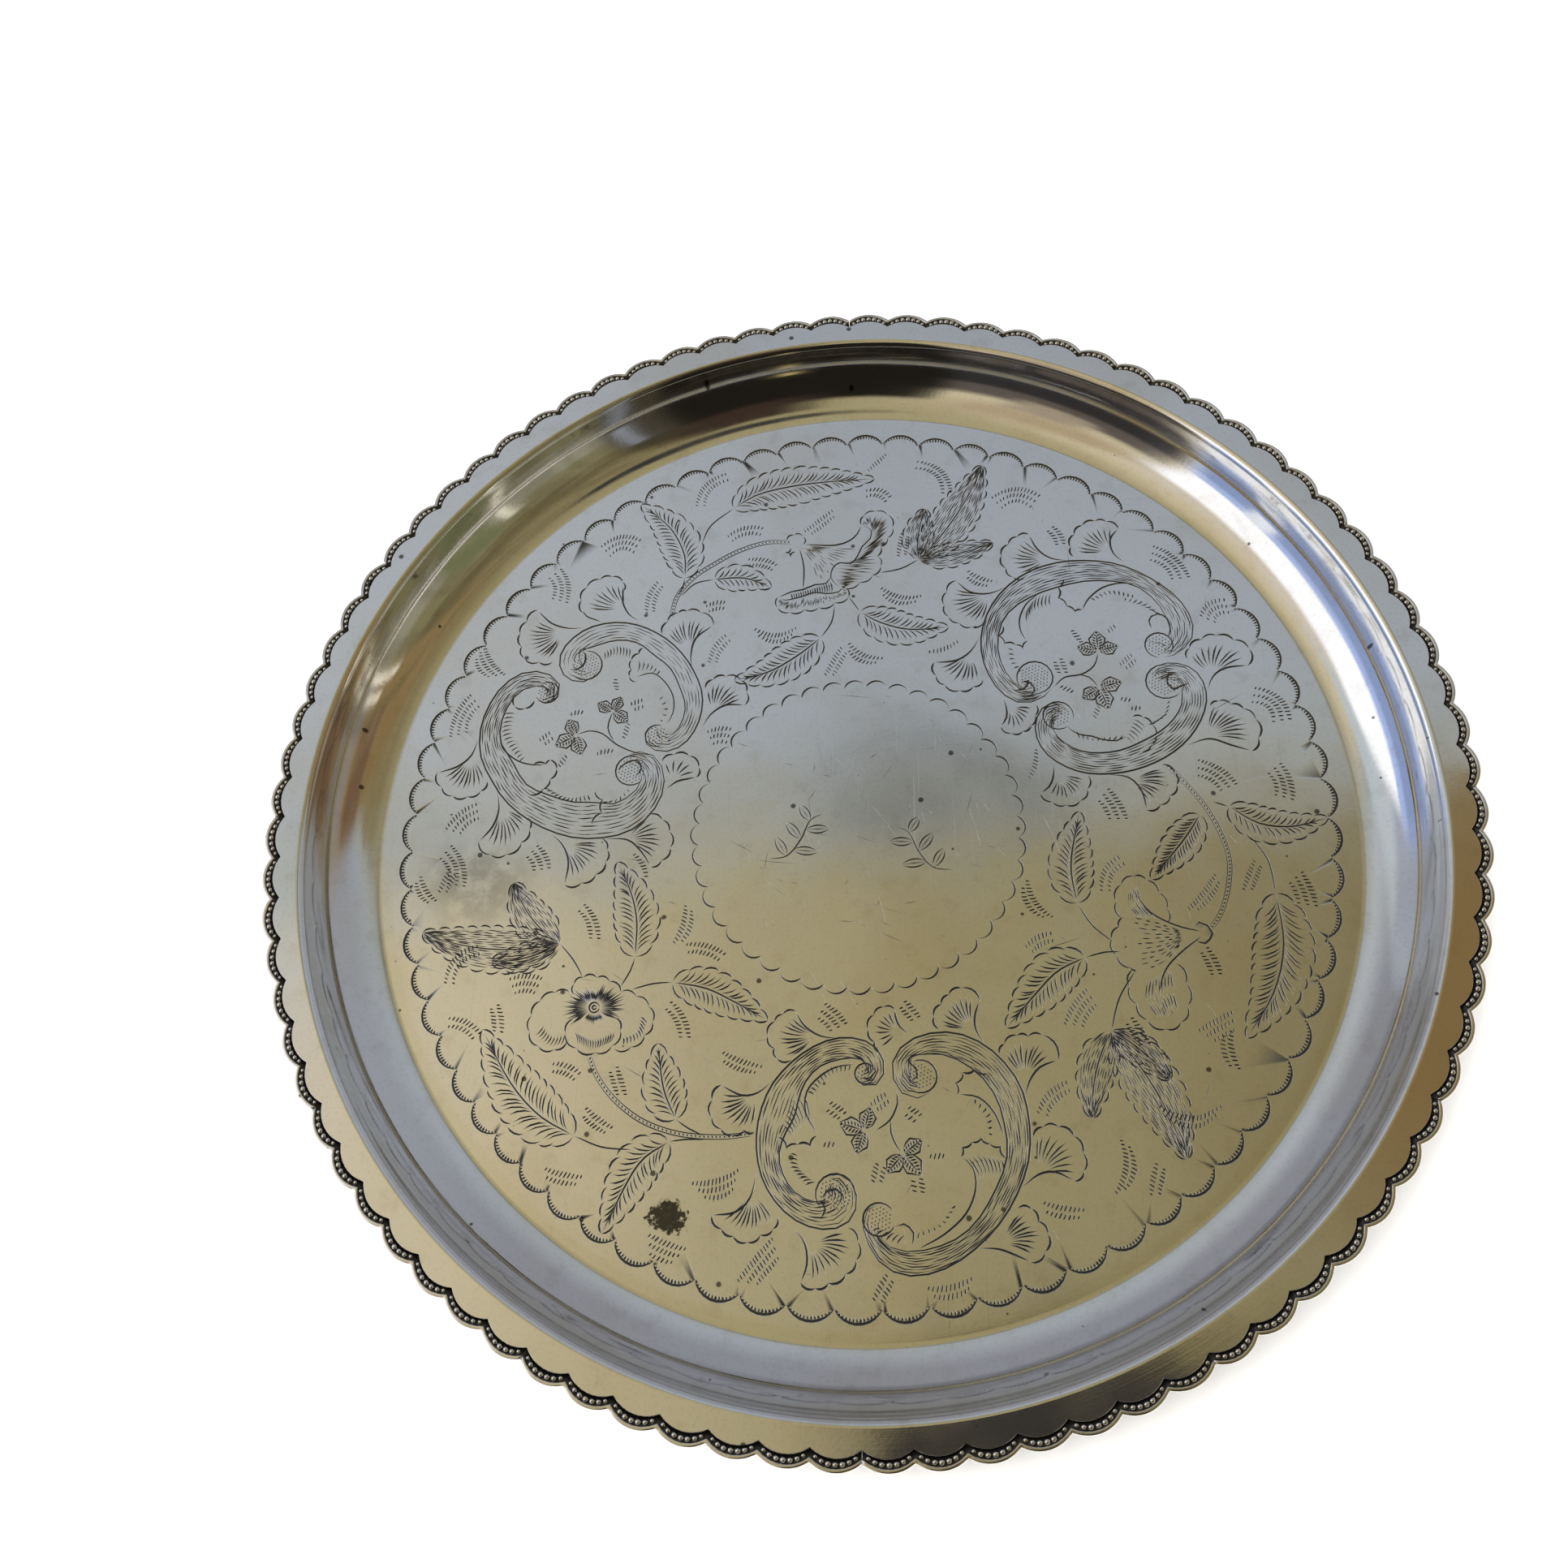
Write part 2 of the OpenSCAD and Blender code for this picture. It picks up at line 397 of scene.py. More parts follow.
def ring_of_scallops(centre, cusp_r, top_r, count, phase, width, drift=None, ticks=0, peak=0.5):
    """A ring of arcs, bulging outwards from cusp to cusp. With ticks, each arc is a hatched crescent."""
    pitch = 2 * math.pi / count
    for k in range(count):
        ends = []
        for i in (k, k + 1):
            angle = phase + i * pitch
            ends.append(angle + (drift(angle) if drift else 0))
        a = centre + cmath.rect(cusp_r + rng.uniform(-0.25, 0.25), ends[0] + 0.002)
        b = centre + cmath.rect(cusp_r + rng.uniform(-0.45, 0.15), ends[1] + 0.004)
        half_chord = abs(b - a) / 2
        rise = top_r - cusp_r * math.cos(pitch / 2)
        radius = (half_chord ** 2 + rise ** 2) / (2 * rise)
        mid = (a + b) / 2
        out = mid / abs(mid)
        hub = mid + out * (rise - radius)
        first, last = cmath.phase(a - hub), cmath.phase(b - hub)
        last += 2 * math.pi if last < first else 0
        steps = 9
        pts = [hub + cmath.rect(radius, first + (last - first) * i / steps) for i in range(steps + 1)]
        cut(pts, (0.72 if ticks else width) * rng.uniform(0.85, 1.1), peak, 0.6)
        for i in range(ticks):
            t = (i + 0.8) / (ticks + 0.6)
            size = 1.35 * width * math.sin(math.pi * t) ** 0.8
            way = cmath.rect(1, first + (last - first) * t)
            thick = 0.74 if abs(t - 0.6) < 0.12 else 0.56
            dash(hub + way * (radius - 0.5 * size), way * size, thick * rng.uniform(0.8, 1.1))


# ---------------------------------------------------------------- the engraved design
RING_CENTRE = complex(0.2, -0.3)
MEDALLION_CENTRE = complex(-0.1, -1.7)


def rings():
    """The scalloped ring round the floor and the one round the plain middle."""
    def uneven(angle):
        degrees = math.degrees(angle) % 360
        return math.radians(-3.0 * math.exp(-((degrees - 243) / 33) ** 2) + 0.5 * math.sin(2 * angle))
    ring_of_scallops(RING_CENTRE, 118.6, 121.9, 71, math.radians(4.5), 1.1, uneven, 14, 0.45)
    ring_of_scallops(MEDALLION_CENTRE, 41.4, 43.6, 44, math.radians(4.0), 0.52, None, 0, 0.68)


def left_cartouche():
    band([(-71, 48.5), (-73, 45), (-76.5, 44.2), (-80.5, 46), (-82.5, 50.5), (-81.5, 55), (-78, 59),
         (-73, 61.7), (-66, 62.5), (-59, 60.7), (-52, 56.3), (-46.5, 50), (-42.6, 42), (-41.8, 36),
         (-43, 30), (-46, 25), (-50, 22.6), (-54, 22.8), (-57, 25), (-57.4, 28), (-55, 30)], [(-75, 47),
         (-75.5, 48), (-76, 50), (-77, 52), (-77.5, 54), (-75.5, 54.5), (-73, 55), (-70, 56.2),
         (-65, 56.9), (-60, 55.5), (-56, 52), (-51, 47.5), (-48, 41), (-46.5, 36), (-47.3, 31),
         (-49.5, 27.5), (-51, 27), (-52, 27.5), (-52.5, 28.5), (-53, 29), (-54, 29.5)], 6, 0.3)
    scalloped([(-59, 54), (-60, 52.3), (-62, 50.5), (-61.8, 47.5), (-62.3, 45.5), (-60.5, 43.8)], 0.55,
              0.25, 0.5, -1)
    line([(-60.5, 45.2), (-56, 46.2), (-52.5, 43.5), (-50, 39), (-49.8, 34), (-51.5, 30.5)], 0.45)
    comb([(-70, 53.7), (-66.5, 55.6), (-63, 54.6)], [(-69.8, 50.5), (-67, 51.7), (-63, 51)], 9)
    comb([(-60, 50.5), (-57, 49.5), (-54, 47)], [(-60.3, 46.5), (-57.5, 47), (-55, 45.6)], 6)
    comb([(-52.8, 39), (-51, 35), (-52.3, 31.5)], [(-54, 38), (-52.6, 35), (-53.4, 32)], 5)
    ball(-74.8, 49.3, 4.5, -150, 250)
    ball(-54, 27.2, 3.2, 60, 240)
    line([(-79.8, 48.3), (-77.5, 48), (-75.3, 50), (-75.2, 52.7), (-76.5, 54)], 0.6)
    band([(-88.6, 40.5), (-87.2, 38.3), (-84.3, 38), (-82, 40), (-81.8, 43.3), (-84, 46.3), (-89, 48),
         (-94, 47), (-99, 42.5), (-102.4, 35), (-103.2, 28), (-102, 21.5), (-99, 16), (-95, 10),
         (-89, 4.6), (-82, 0.6), (-75, -1.7), (-68, -2), (-61, -0.6), (-56, 3), (-52.6, 8), (-51.4, 13),
         (-52.2, 18), (-55, 21.7), (-59, 22.7), (-62.5, 21.5)], [(-87, 41), (-86, 40.5), (-85, 41.5),
         (-85.5, 43), (-87, 43.8), (-90, 43), (-93, 42), (-95, 39.5), (-97, 35), (-97.7, 30),
         (-96.7, 25.5), (-94, 21.8), (-91, 16.5), (-88, 13), (-84.5, 11.5), (-80, 9.6), (-75, 8.3),
         (-70, 8.3), (-65, 7.5), (-61, 9.5), (-58.5, 12), (-57.5, 14.5), (-58, 17), (-59.5, 19),
         (-61, 19.6), (-62, 20)], 9, 0.36)
    ball(-85.2, 41.3, 3.2, -170, 300)
    ball(-60.5, 17.2, 4.3, 60, 260)
    scalloped([(-94.2, 40.6), (-94, 37.5), (-91.3, 36.7), (-88.8, 39)], 0.6, 0.22, 0.5, -1)
    scalloped([(-87.5, 19.6), (-84, 19.6), (-83, 20.8), (-81.1, 18.3), (-82.7, 15.3), (-84.3, 12.6),
              (-88, 11)], 0.6, 0.22, 0.5, 1)
    line([(-98, 31), (-96.5, 25), (-92, 21), (-87.5, 19.6), (-84, 19.7)], 0.55)
    scalloped([(-70, 11.5), (-67.6, 9), (-67.6, 5), (-70.3, 2)], 0.55, 0.22, 0.5, -1)
    line([(-64.5, 17), (-62, 19.5), (-59, 20), (-57.8, 17.6), (-59.5, 15.2)], 0.55)
    comb([(-97, 35), (-97, 28), (-91.5, 20.5)], [(-93.5, 35), (-93.8, 29), (-90, 22)], 13)
    comb([(-84.5, 12.5), (-78, 8.5), (-71, 8.6)], [(-82, 12), (-77, 9.8), (-72, 10.8)], 12, 0.46)
    comb([(-68, 8), (-63.5, 8), (-60.5, 11)], [(-66, 8), (-63.5, 9.4), (-61.5, 12)], 6)
    husk([(-84.5, 50.8), (-88.2, 51), (-92.3, 52.3), (-93.4, 56), (-94.2, 60), (-92.6, 63.7),
         (-89.8, 67.3)], [(-76, 61.2), (-80.5, 61.2), (-85.5, 63), (-89.8, 67.3)], 11)
    husk([(-76.5, 66), (-77.3, 70), (-76, 74), (-72.3, 76.5), (-69, 77.2), (-66, 75.5), (-65.6, 72.5)],
         [(-60, 62.3), (-63.5, 65), (-65.5, 69), (-65.6, 72.5)])
    line([(-77, 67), (-75.5, 64.8), (-71, 62.8)], 0.5)
    husk([(-53.6, 58.3), (-52.3, 62), (-49.5, 64.7), (-47, 65.2), (-43.2, 64.5), (-39.6, 60.4)],
         [(-44.9, 46.2), (-45.5, 51), (-44.3, 56.5), (-39.6, 60.4)])
    husk([(-41, 41), (-39, 43.5), (-35.5, 44.3), (-31.5, 43), (-30, 39.5), (-30.3, 35.6)],
         [(-41.8, 29), (-39.5, 33), (-35.5, 35.7), (-30.3, 35.6)], 8)
    husk([(-52.2, 19.5), (-49, 21.3), (-45, 20.8), (-42.4, 17.6), (-42.9, 14.7)],
         [(-51, 11.4), (-48, 13.6), (-45.5, 14.2), (-42.9, 14.7)], 5)
    husk([(-55, 4.2), (-51.6, 2.6), (-49.7, -0.6), (-49.2, -5), (-51.4, -8.5), (-54, -10.3)],
         [(-67, -2.2), (-60.5, -2.7), (-56.5, -6.3), (-54, -10.3)], 8)
    husk([(-67.5, -2.3), (-66, -5.3), (-66.2, -8.6), (-68.6, -12), (-72.2, -14.2), (-76.6, -14.6)],
         [(-82, 0.2), (-78, -3.5), (-76, -8.5), (-76.6, -14.6)])
    husk([(-88, 4.2), (-87.3, 1), (-89.2, -2.6), (-93, -5.8), (-97, -5.8), (-100.5, -2)],
         [(-97, 13), (-96, 7), (-97.3, 2), (-100.5, -2)])
    husk([(-100, 15.2), (-101.6, 12.4), (-105, 11), (-109, 11.3), (-112.2, 14), (-114, 18)],
         [(-103.5, 28), (-105, 23), (-108.5, 19.8), (-114, 18)])
    trefoil(-66.5, 35, [(-71, 37.6), (-64.3, 39.3), (-62, 31.5)])
    trefoil(-76.3, 28, [(-78.8, 33), (-82, 25), (-74.6, 22)])
    line([(-55, 21.5), (-60, 22.5), (-65, 25), (-69, 28.3), (-73, 29.2), (-76.3, 28)], 0.5)
    line([(-65.5, 25.5), (-67.6, 30), (-66.5, 35)], 0.45)


def right_cartouche():
    band([(52.8, 38), (49.5, 34.8), (44, 33.6), (38.5, 37.5), (35, 45), (34.2, 52), (35.7, 59.5),
         (40, 67), (47, 73), (55, 76), (63, 76.6), (72, 75.2), (80, 71), (86.8, 65), (90.5, 58.5),
         (91, 53), (89, 49.2), (85.5, 46.4), (81.5, 45.6)], [(49, 39), (47, 37.5), (44, 38),
         (41.3, 41.5), (39.3, 46), (38.7, 52), (40.3, 58.5), (44, 63), (50, 66.5), (56, 68.5), (63, 70),
         (70, 69.8), (77, 68), (82.3, 62.5), (84.5, 57), (85.3, 52.5), (85, 50), (84, 48.5),
         (82.5, 47.5)], 9, 0.36)
    ball(48.1, 41, 4.8, -100, 330)
    line([(42.3, 37.5), (45, 37.7), (46.3, 40), (44.6, 40)], 0.55)
    line([(44, 40), (47, 39.3), (47.8, 37), (46, 35.2)], 0.5)
    ball(81.6, 49.5, 3.7, -60, 330)
    line([(79.5, 57.5), (82, 59), (84.5, 57.5), (85, 54), (84, 51.5)], 0.5)
    line([(80.3, 54.3), (79.6, 57), (81, 59.2)], 0.45)
    scalloped([(57.5, 71), (55.8, 68.5), (55.6, 65), (57.8, 62.3), (60, 60.5), (62, 61)], 0.6, 0.24, 0.5, 1)
    line([(62, 61), (64, 64.5), (68, 67.8), (73, 69), (77, 68.4)], 0.55)
    scalloped([(40.3, 57.3), (38.7, 54), (40.5, 51.4), (43.6, 50.9), (45.5, 49.8), (46.8, 52)], 0.55,
              0.24, 0.5, 1)
    line([(46.8, 52), (45.2, 55), (45, 59), (47, 63.5), (50.5, 66.5)], 0.5)
    comb([(47, 57.5), (49, 61), (53.5, 62.5)], [(47.8, 63), (50.5, 66), (54, 66.8)], 9)
    comb([(64.5, 64.6), (70, 67), (76, 65.5)], [(66, 63.6), (70, 65.3), (75.5, 64)], 10, 0.46)
    comb([(74, 64.5), (79, 63), (83, 59)], [(73.5, 63.3), (77, 62), (80.5, 60.5)], 8)
    comb([(41.3, 50), (41.5, 46), (43.5, 42.5)], [(43.3, 49), (43.5, 46), (45, 43.5)], 6)
    band([(56.5, 30.5), (54, 33.3), (50.3, 32.6), (47.8, 28.7), (47.5, 24), (49.6, 19), (54.3, 15),
         (60, 12.8), (66.5, 12.5), (73, 13.6), (80, 16.5), (86, 21), (90.4, 27), (92.5, 33), (92, 38.5),
         (89.4, 42.4), (85, 44), (81, 43.6), (78, 41.3)], [(54, 29.5), (53, 28.5), (52, 27.5),
         (52, 25.5), (53.6, 22.7), (57, 20), (61, 18.6), (65.5, 18.5), (70, 19.3), (75, 21.5),
         (79.5, 24), (83, 27), (85.7, 31), (86.3, 34.5), (86.5, 36.8), (86, 38.5), (84.5, 39.4),
         (82.5, 39), (81, 38.5)], 9, 0.36)
    ball(53.6, 29.6, 4, -20, 330)
    ball(82.2, 38.6, 5, 70, 250)
    line([(88.6, 38), (86, 37), (84.3, 36.2), (82.8, 37.8), (83.3, 40.6), (85.5, 40.4)], 0.55)
    scalloped([(73, 28.5), (75.6, 28.2), (77.6, 26), (78.3, 23), (77, 20.5), (74.5, 18.6)], 0.55, 0.24,
              0.5, 1)
    line([(55.5, 26.3), (58.5, 24), (62, 23.3), (64.5, 22.3), (68, 21.8), (71, 23)], 0.5)
    comb([(70.5, 23), (71.5, 25.5), (72.8, 28)], [(72.5, 20.5), (74.5, 22), (76.5, 24.5)], 6)
    comb([(58, 25.2), (62, 23), (70, 23.5)], [(58.5, 22.5), (62.5, 21.8), (68, 21.5)], 9)
    comb([(79, 27), (82, 29.5), (83, 33)], [(76.5, 26.2), (80.5, 28.5), (82, 32)], 7)
    husk([(47, 71.8), (44, 72.3), (42.3, 75.2), (41.2, 79), (43.3, 82.6), (45.8, 85), (49, 85.6)],
         [(60, 76.6), (54.5, 77.8), (51, 81), (49, 85.6)])
    husk([(61, 78), (60.4, 81), (61.6, 85), (64, 87.8), (67.5, 89), (70.5, 88.7), (73.6, 86.3)],
         [(75, 75), (71.8, 78.5), (71.2, 83), (73.6, 86.3)])
    husk([(35, 58.3), (32, 57.2), (28.7, 58.6), (26, 60.6), (24.9, 64.2), (25.7, 68.2), (28.3, 71.6)],
         [(42.5, 69.3), (37, 67.3), (32, 68), (28.3, 71.6)], 10)
    husk([(34.2, 40.8), (31.5, 39), (28, 38), (24.2, 39.8), (22, 42.6), (21.5, 46.5)],
         [(34, 54), (31.5, 49.8), (27.5, 47), (21.5, 46.5)], 8)
    husk([(47.8, 33), (47.4, 29.8), (46.3, 27), (44, 25.4), (41.2, 24.9), (38.5, 27)],
         [(39.3, 35.5), (40.1, 32.5), (40, 29.5), (38.5, 27)], 7)
    husk([(60, 12.2), (59.6, 8.5), (57.6, 5.3), (54, 4.2), (50.7, 5.2), (47.8, 7.6)],
         [(51.6, 15.6), (51.2, 12), (50, 9.3), (47.8, 7.6)])
    husk([(79.3, 14.5), (82.2, 12), (82.4, 9), (80.4, 6), (77.8, 3.6), (74.4, 2.2)],
         [(65, 12.3), (70.5, 11.3), (73.5, 7.5), (74.4, 2.2)])
    husk([(93.3, 31), (95.5, 32.2), (98.5, 31.2), (101.6, 29.7), (104.2, 26.8), (104.3, 21.5),
         (102.3, 17.9)], [(85.8, 19.8), (92, 21.6), (97.5, 19.6), (102.3, 17.9)], 10)
    husk([(88.8, 45), (89.6, 48.2), (93, 50.6), (97, 51.6), (101.2, 50), (104.8, 47.5), (104, 42.6)],
         [(92.8, 35.3), (94.8, 39.6), (98.3, 42), (104, 42.6)])
    trefoil(65.4, 48.3, [(65.3, 54.6), (59.8, 49.8), (70.8, 49.8)])
    trefoil(64.9, 37.4, [(71, 39), (67, 30.9), (60.2, 34.2)])
    line([(53, 38), (56, 40.8), (60.5, 41.5), (64, 44), (65.4, 48)], 0.5)
    line([(59.5, 41.4), (62.5, 40.6), (64.9, 37.4)], 0.45)


def lower_cartouche():
    band([(-1.5, -65.2), (0.5, -67.7), (3.4, -67.8), (5.5, -65.5), (5.8, -62), (4, -58.5), (0, -56.3),
         (-5.5, -56), (-11.3, -58), (-17, -62), (-22, -68), (-24.8, -76), (-25, -84), (-23, -91),
         (-18.5, -97), (-13, -100.4), (-7, -101.2), (-2.6, -99), (-1.1, -95), (-2, -91), (-5, -88.6),
         (-8.5, -89.2)], [(0, -65), (1, -64.5), (1.8, -63.5), (1.5, -62), (-0.5, -61), (-3, -61),
         (-6.5, -61.6), (-10, -63), (-13, -66), (-14.8, -70), (-16, -75), (-18.7, -80), (-19.7, -85),
         (-18, -90), (-15, -93.5), (-11, -95), (-9, -95), (-8, -94), (-8.5, -92.5), (-8, -91.3),
         (-7, -91), (-6.5, -90.8)], 9, 0.36)
    ball(1.2, -64.8, 2.5, 0, 330)
    ball(-6.2, -93.2, 4.7, -20, 250)
    line([(-11.5, -95), (-9.3, -94.8), (-8.6, -96.7), (-9.8, -99)], 0.55)
    line([(-9.5, -94.5), (-8.3, -92.6), (-6, -92), (-4.4, -93.5), (-4, -95.8)], 0.55)
    scalloped([(-10.7, -79.8), (-12, -82.2), (-15.2, -81.8), (-18, -82.8), (-20, -80)], 0.6, 0.24, 0.5, -1)
    line([(-1.5, -62.5), (-6, -63.2), (-10, -65.5), (-13, -69), (-13.3, -74), (-10.6, -79)], 0.5)
    comb([(-2.5, -62.2), (-8, -63.2), (-13, -69)], [(-3, -64.2), (-7.5, -65.6), (-11, -70)], 12)
    comb([(-19, -77), (-17.5, -72), (-14.5, -69)], [(-16.5, -80), (-14.5, -78), (-12.5, -77)], 8)
    comb([(-17, -83.8), (-17, -87), (-13.5, -91.2)], [(-15, -84.5), (-14.5, -87.5), (-10.8, -90.5)], 9,
         0.46)
    band([(17.5, -69.2), (13.5, -71), (10, -69.6), (8, -66), (8, -61.6), (10.5, -58), (15, -55.6),
         (21, -54.8), (27, -56.2), (33, -60.3), (38, -67), (40, -75), (39.8, -84), (37.5, -91),
         (33.5, -98), (28, -104), (21, -109), (14, -111.4), (8, -111), (3.5, -108), (0.9, -103),
         (0, -98.3), (1.5, -96), (4, -95.2)], [(14.5, -67), (13, -66.5), (12.3, -64.5), (12, -62),
         (12.6, -60.2), (14.5, -59.8), (17, -60.3), (21, -60.4), (25.5, -62.7), (29.5, -66), (32.7, -71),
         (34.2, -77), (34.7, -83), (33.5, -88), (31, -93), (27.5, -98.5), (23, -102.7), (17, -105.3),
         (11.5, -106.2), (8, -105.8), (5, -104.3), (3.5, -102.3), (3.5, -100.5), (4, -99)], 9, 0.36)
    ball(14.6, -65.6, 4, -140, 260)
    ball(4, -99, 3.8, 20, 330)
    line([(12.5, -60), (11.8, -62), (13.6, -63.6), (13.8, -65.6), (12, -67)], 0.5)
    line([(7.5, -100.6), (9.8, -100), (12, -102), (11.5, -105)], 0.5)
    scalloped([(23.2, -70), (22.8, -67.2), (24.8, -64.6), (27.8, -63.8), (30.8, -65)], 0.6, 0.24, 0.5, -1)
    scalloped([(23.6, -84.6), (23.9, -82.4), (26.3, -81.2), (28.6, -80.2), (30.6, -81.6), (33.2, -82.2),
              (34.3, -85)], 0.6, 0.24, 0.5, -1)
    line([(23.8, -70), (28.4, -70.8), (32, -74.5), (34, -80)], 0.5)
    line([(23.6, -84.6), (26.3, -87.2), (26.8, -92), (24.3, -97.7), (19, -102.4), (13, -105.6)], 0.55)
    comb([(27.5, -71), (31, -74), (31.3, -79.5)], [(27.3, -72.5), (29.5, -75.5), (30.3, -79.3)], 7, 0.5)
    comb([(22, -95.8), (19, -100.5), (13, -103.4)], [(20.8, -96.5), (18, -99.8), (13.5, -101.7)], 9)
    comb([(25, -84.8), (28, -84), (33, -85)], [(28, -90), (30.3, -89.5), (33.3, -89.3)], 8)
    comb([(2.3, -101.6), (4, -103.4), (8, -104.7)], [(4.5, -101), (7, -101.6), (10, -102.5)], 6)
    husk([(-17, -61.2), (-20.3, -60.8), (-20.9, -58.3), (-22.6, -55.3), (-21, -51.8), (-19, -50),
         (-15.8, -49.3)], [(-5, -56), (-9.5, -55.5), (-13.5, -53), (-15.8, -49.3)])
    husk([(4.8, -59.6), (3.8, -57), (2.3, -54), (3.6, -50.4), (6, -48.5), (8.7, -49.2)],
         [(12.3, -55.3), (10, -53.5), (9, -51.3), (8.7, -49.2)], 7)
    husk([(19.6, -54), (18.4, -51), (20.3, -48), (22.2, -45.6), (25.3, -44), (29.5, -47.2)],
         [(30.5, -58), (28.5, -54.5), (28.3, -51), (29.5, -47.2)])
    husk([(34, -60.4), (35.2, -58), (38.3, -56), (41, -56.3), (44.3, -56), (47.6, -62)],
         [(39.4, -71), (40.7, -67), (43.3, -63.7), (47.6, -62)])
    husk([(41, -80.2), (43.3, -78), (46.8, -78), (50.2, -80.2), (52, -84), (52, -88), (49.8, -90.3)],
         [(37.4, -92), (41.5, -88.9), (45.5, -88.3), (49.8, -90.3)])
    husk([(36.4, -96.6), (39.5, -96.8), (40.7, -99.6), (42.8, -102.3), (42, -106), (38.7, -108.4)],
         [(27, -105.4), (31.5, -105.6), (35.5, -107), (38.7, -108.4)])
    husk([(-3.3, -101), (-1.2, -104), (-1.6, -108), (-4, -111), (-8, -113), (-11, -114.2), (-14.3, -113)],
         [(-16, -100.8), (-13.4, -104.5), (-12.9, -109), (-14.3, -113)], 10)
    husk([(-20, -98.6), (-21, -101), (-24, -102.3), (-27, -104), (-30.2, -102.6), (-33, -101),
         (-35.4, -98)], [(-25, -88), (-26.5, -94), (-30, -97.3), (-35.4, -98)], 10)
    husk([(-25.7, -78.6), (-28.3, -78), (-31, -79.2), (-33.7, -77.7), (-36, -75), (-36, -71), (-34, -67.4)],
         [(-21.5, -66.4), (-25, -69.2), (-29, -69.8), (-34, -67.4)])
    trefoil(0.8, -78.4, [(-5.3, -76.6), (2.4, -72.8), (-1.2, -83.9)])
    trefoil(10, -84, [(14.6, -80.6), (14.2, -89), (6, -88.4)])
    line([(8.6, -69), (8.9, -72), (7, -76), (3.4, -78.6)], 0.5)
    line([(7.3, -75.5), (7.2, -79), (8.6, -82.3), (10, -84)], 0.45)


def top_spray():
    rope([(-51.5, 63), (-50, 70), (-45.5, 76), (-40, 80), (-33, 84), (-25, 86.5), (-17.5, 86.3)])
    leaf([(-34.5, 98.5), (-27, 103), (-13, 105.7), (6, 106.5)], 11.5, [(-43.5, 87), (-41, 93),
         (-34.5, 98.5)])
    leaf([(-48, 76), (-48.5, 84), (-53, 93), (-61.5, 101)], 10.5, [(-50, 70), (-48.5, 73), (-48, 76)])
    leaf([(-39.5, 75.2), (-31, 75.2), (-23.5, 72)], 7.5, [(-49, 70), (-45, 74), (-39.5, 75.2)])
    leaf([(1.5, 63), (7, 59.5), (15, 57), (25.5, 57.3)], 9.5, [(-2, 68.5), (0, 65.5), (1.5, 63)])
    leaf([(-9.5, 55.3), (-16, 50), (-24, 45.3), (-33, 43.2)], 10, [(-5.5, 65.5), (-6.5, 60), (-9.5, 55.3)])
    shaded_leaf((18, 79), [((37, 109.5), 11, -2.0), ((20.5, 95.6), 7.5, 1.0), ((39, 83.6), 6.5, -1.0)],
                [(7, 75.2), (13, 76.3), (18, 79)])
    line([(-14, 85.4), (-5, 84.8), (0, 87), (2.3, 91)], 0.55)
    line([(-15.5, 84.5), (-14.2, 78), (-14.4, 70.8)], 0.5)
    scalloped([(-18, 84.5), (-19.5, 83), (-18, 81.5), (-16.6, 83)], 0.5, 0.3, 0.5, 1)
    scalloped([(-19, 87), (-17, 88.6), (-14.5, 88), (-14.5, 85.5)], 0.5, 0.3, 0.5, 1)
    ruffle([(2.3, 91), (3, 94), (6.3, 95.2), (9.6, 94), (10.8, 90), (9.4, 86.5), (7.4, 83.8),
           (6.4, 80.7), (7.3, 77.5), (5, 74.6), (1.4, 72.6), (-2.6, 70.8)], [(2.3, 91), (4.8, 89.5),
           (4.6, 86.5), (2.3, 84), (1, 81), (-1, 78.6), (-4, 79), (-6, 77.4), (-6.6, 74.4), (-5, 72),
           (-3.6, 71)], 0.5)
    ruffle([(-2.6, 70.8), (-1.8, 68), (-5.5, 66.4), (-10, 65), (-14, 64.6), (-18, 63.8), (-21.3, 65.3),
           (-21.4, 68.6)], [(-3, 71.5), (-4.5, 69.6), (-8, 69.2), (-11, 69.8), (-14, 68.8), (-17, 68),
           (-19.5, 67.6), (-21, 68.3)], 0.5)
    line([(-21.3, 68.6), (-17.6, 70.2), (-14.4, 70.8), (-11, 72.2), (-8, 72.5), (-6.4, 75)], 0.5)
    flow([[(-14.5, 84), (-12, 80), (-10, 73)], [(-13, 84.8), (-4, 83.5), (1, 83)]], 11, (3, 6), 0.3)
    comb([(-18, 70), (-12, 71.6), (-7, 73.5)], [(-17.5, 67), (-12, 68.5), (-6.5, 69)], 18, 0.44)


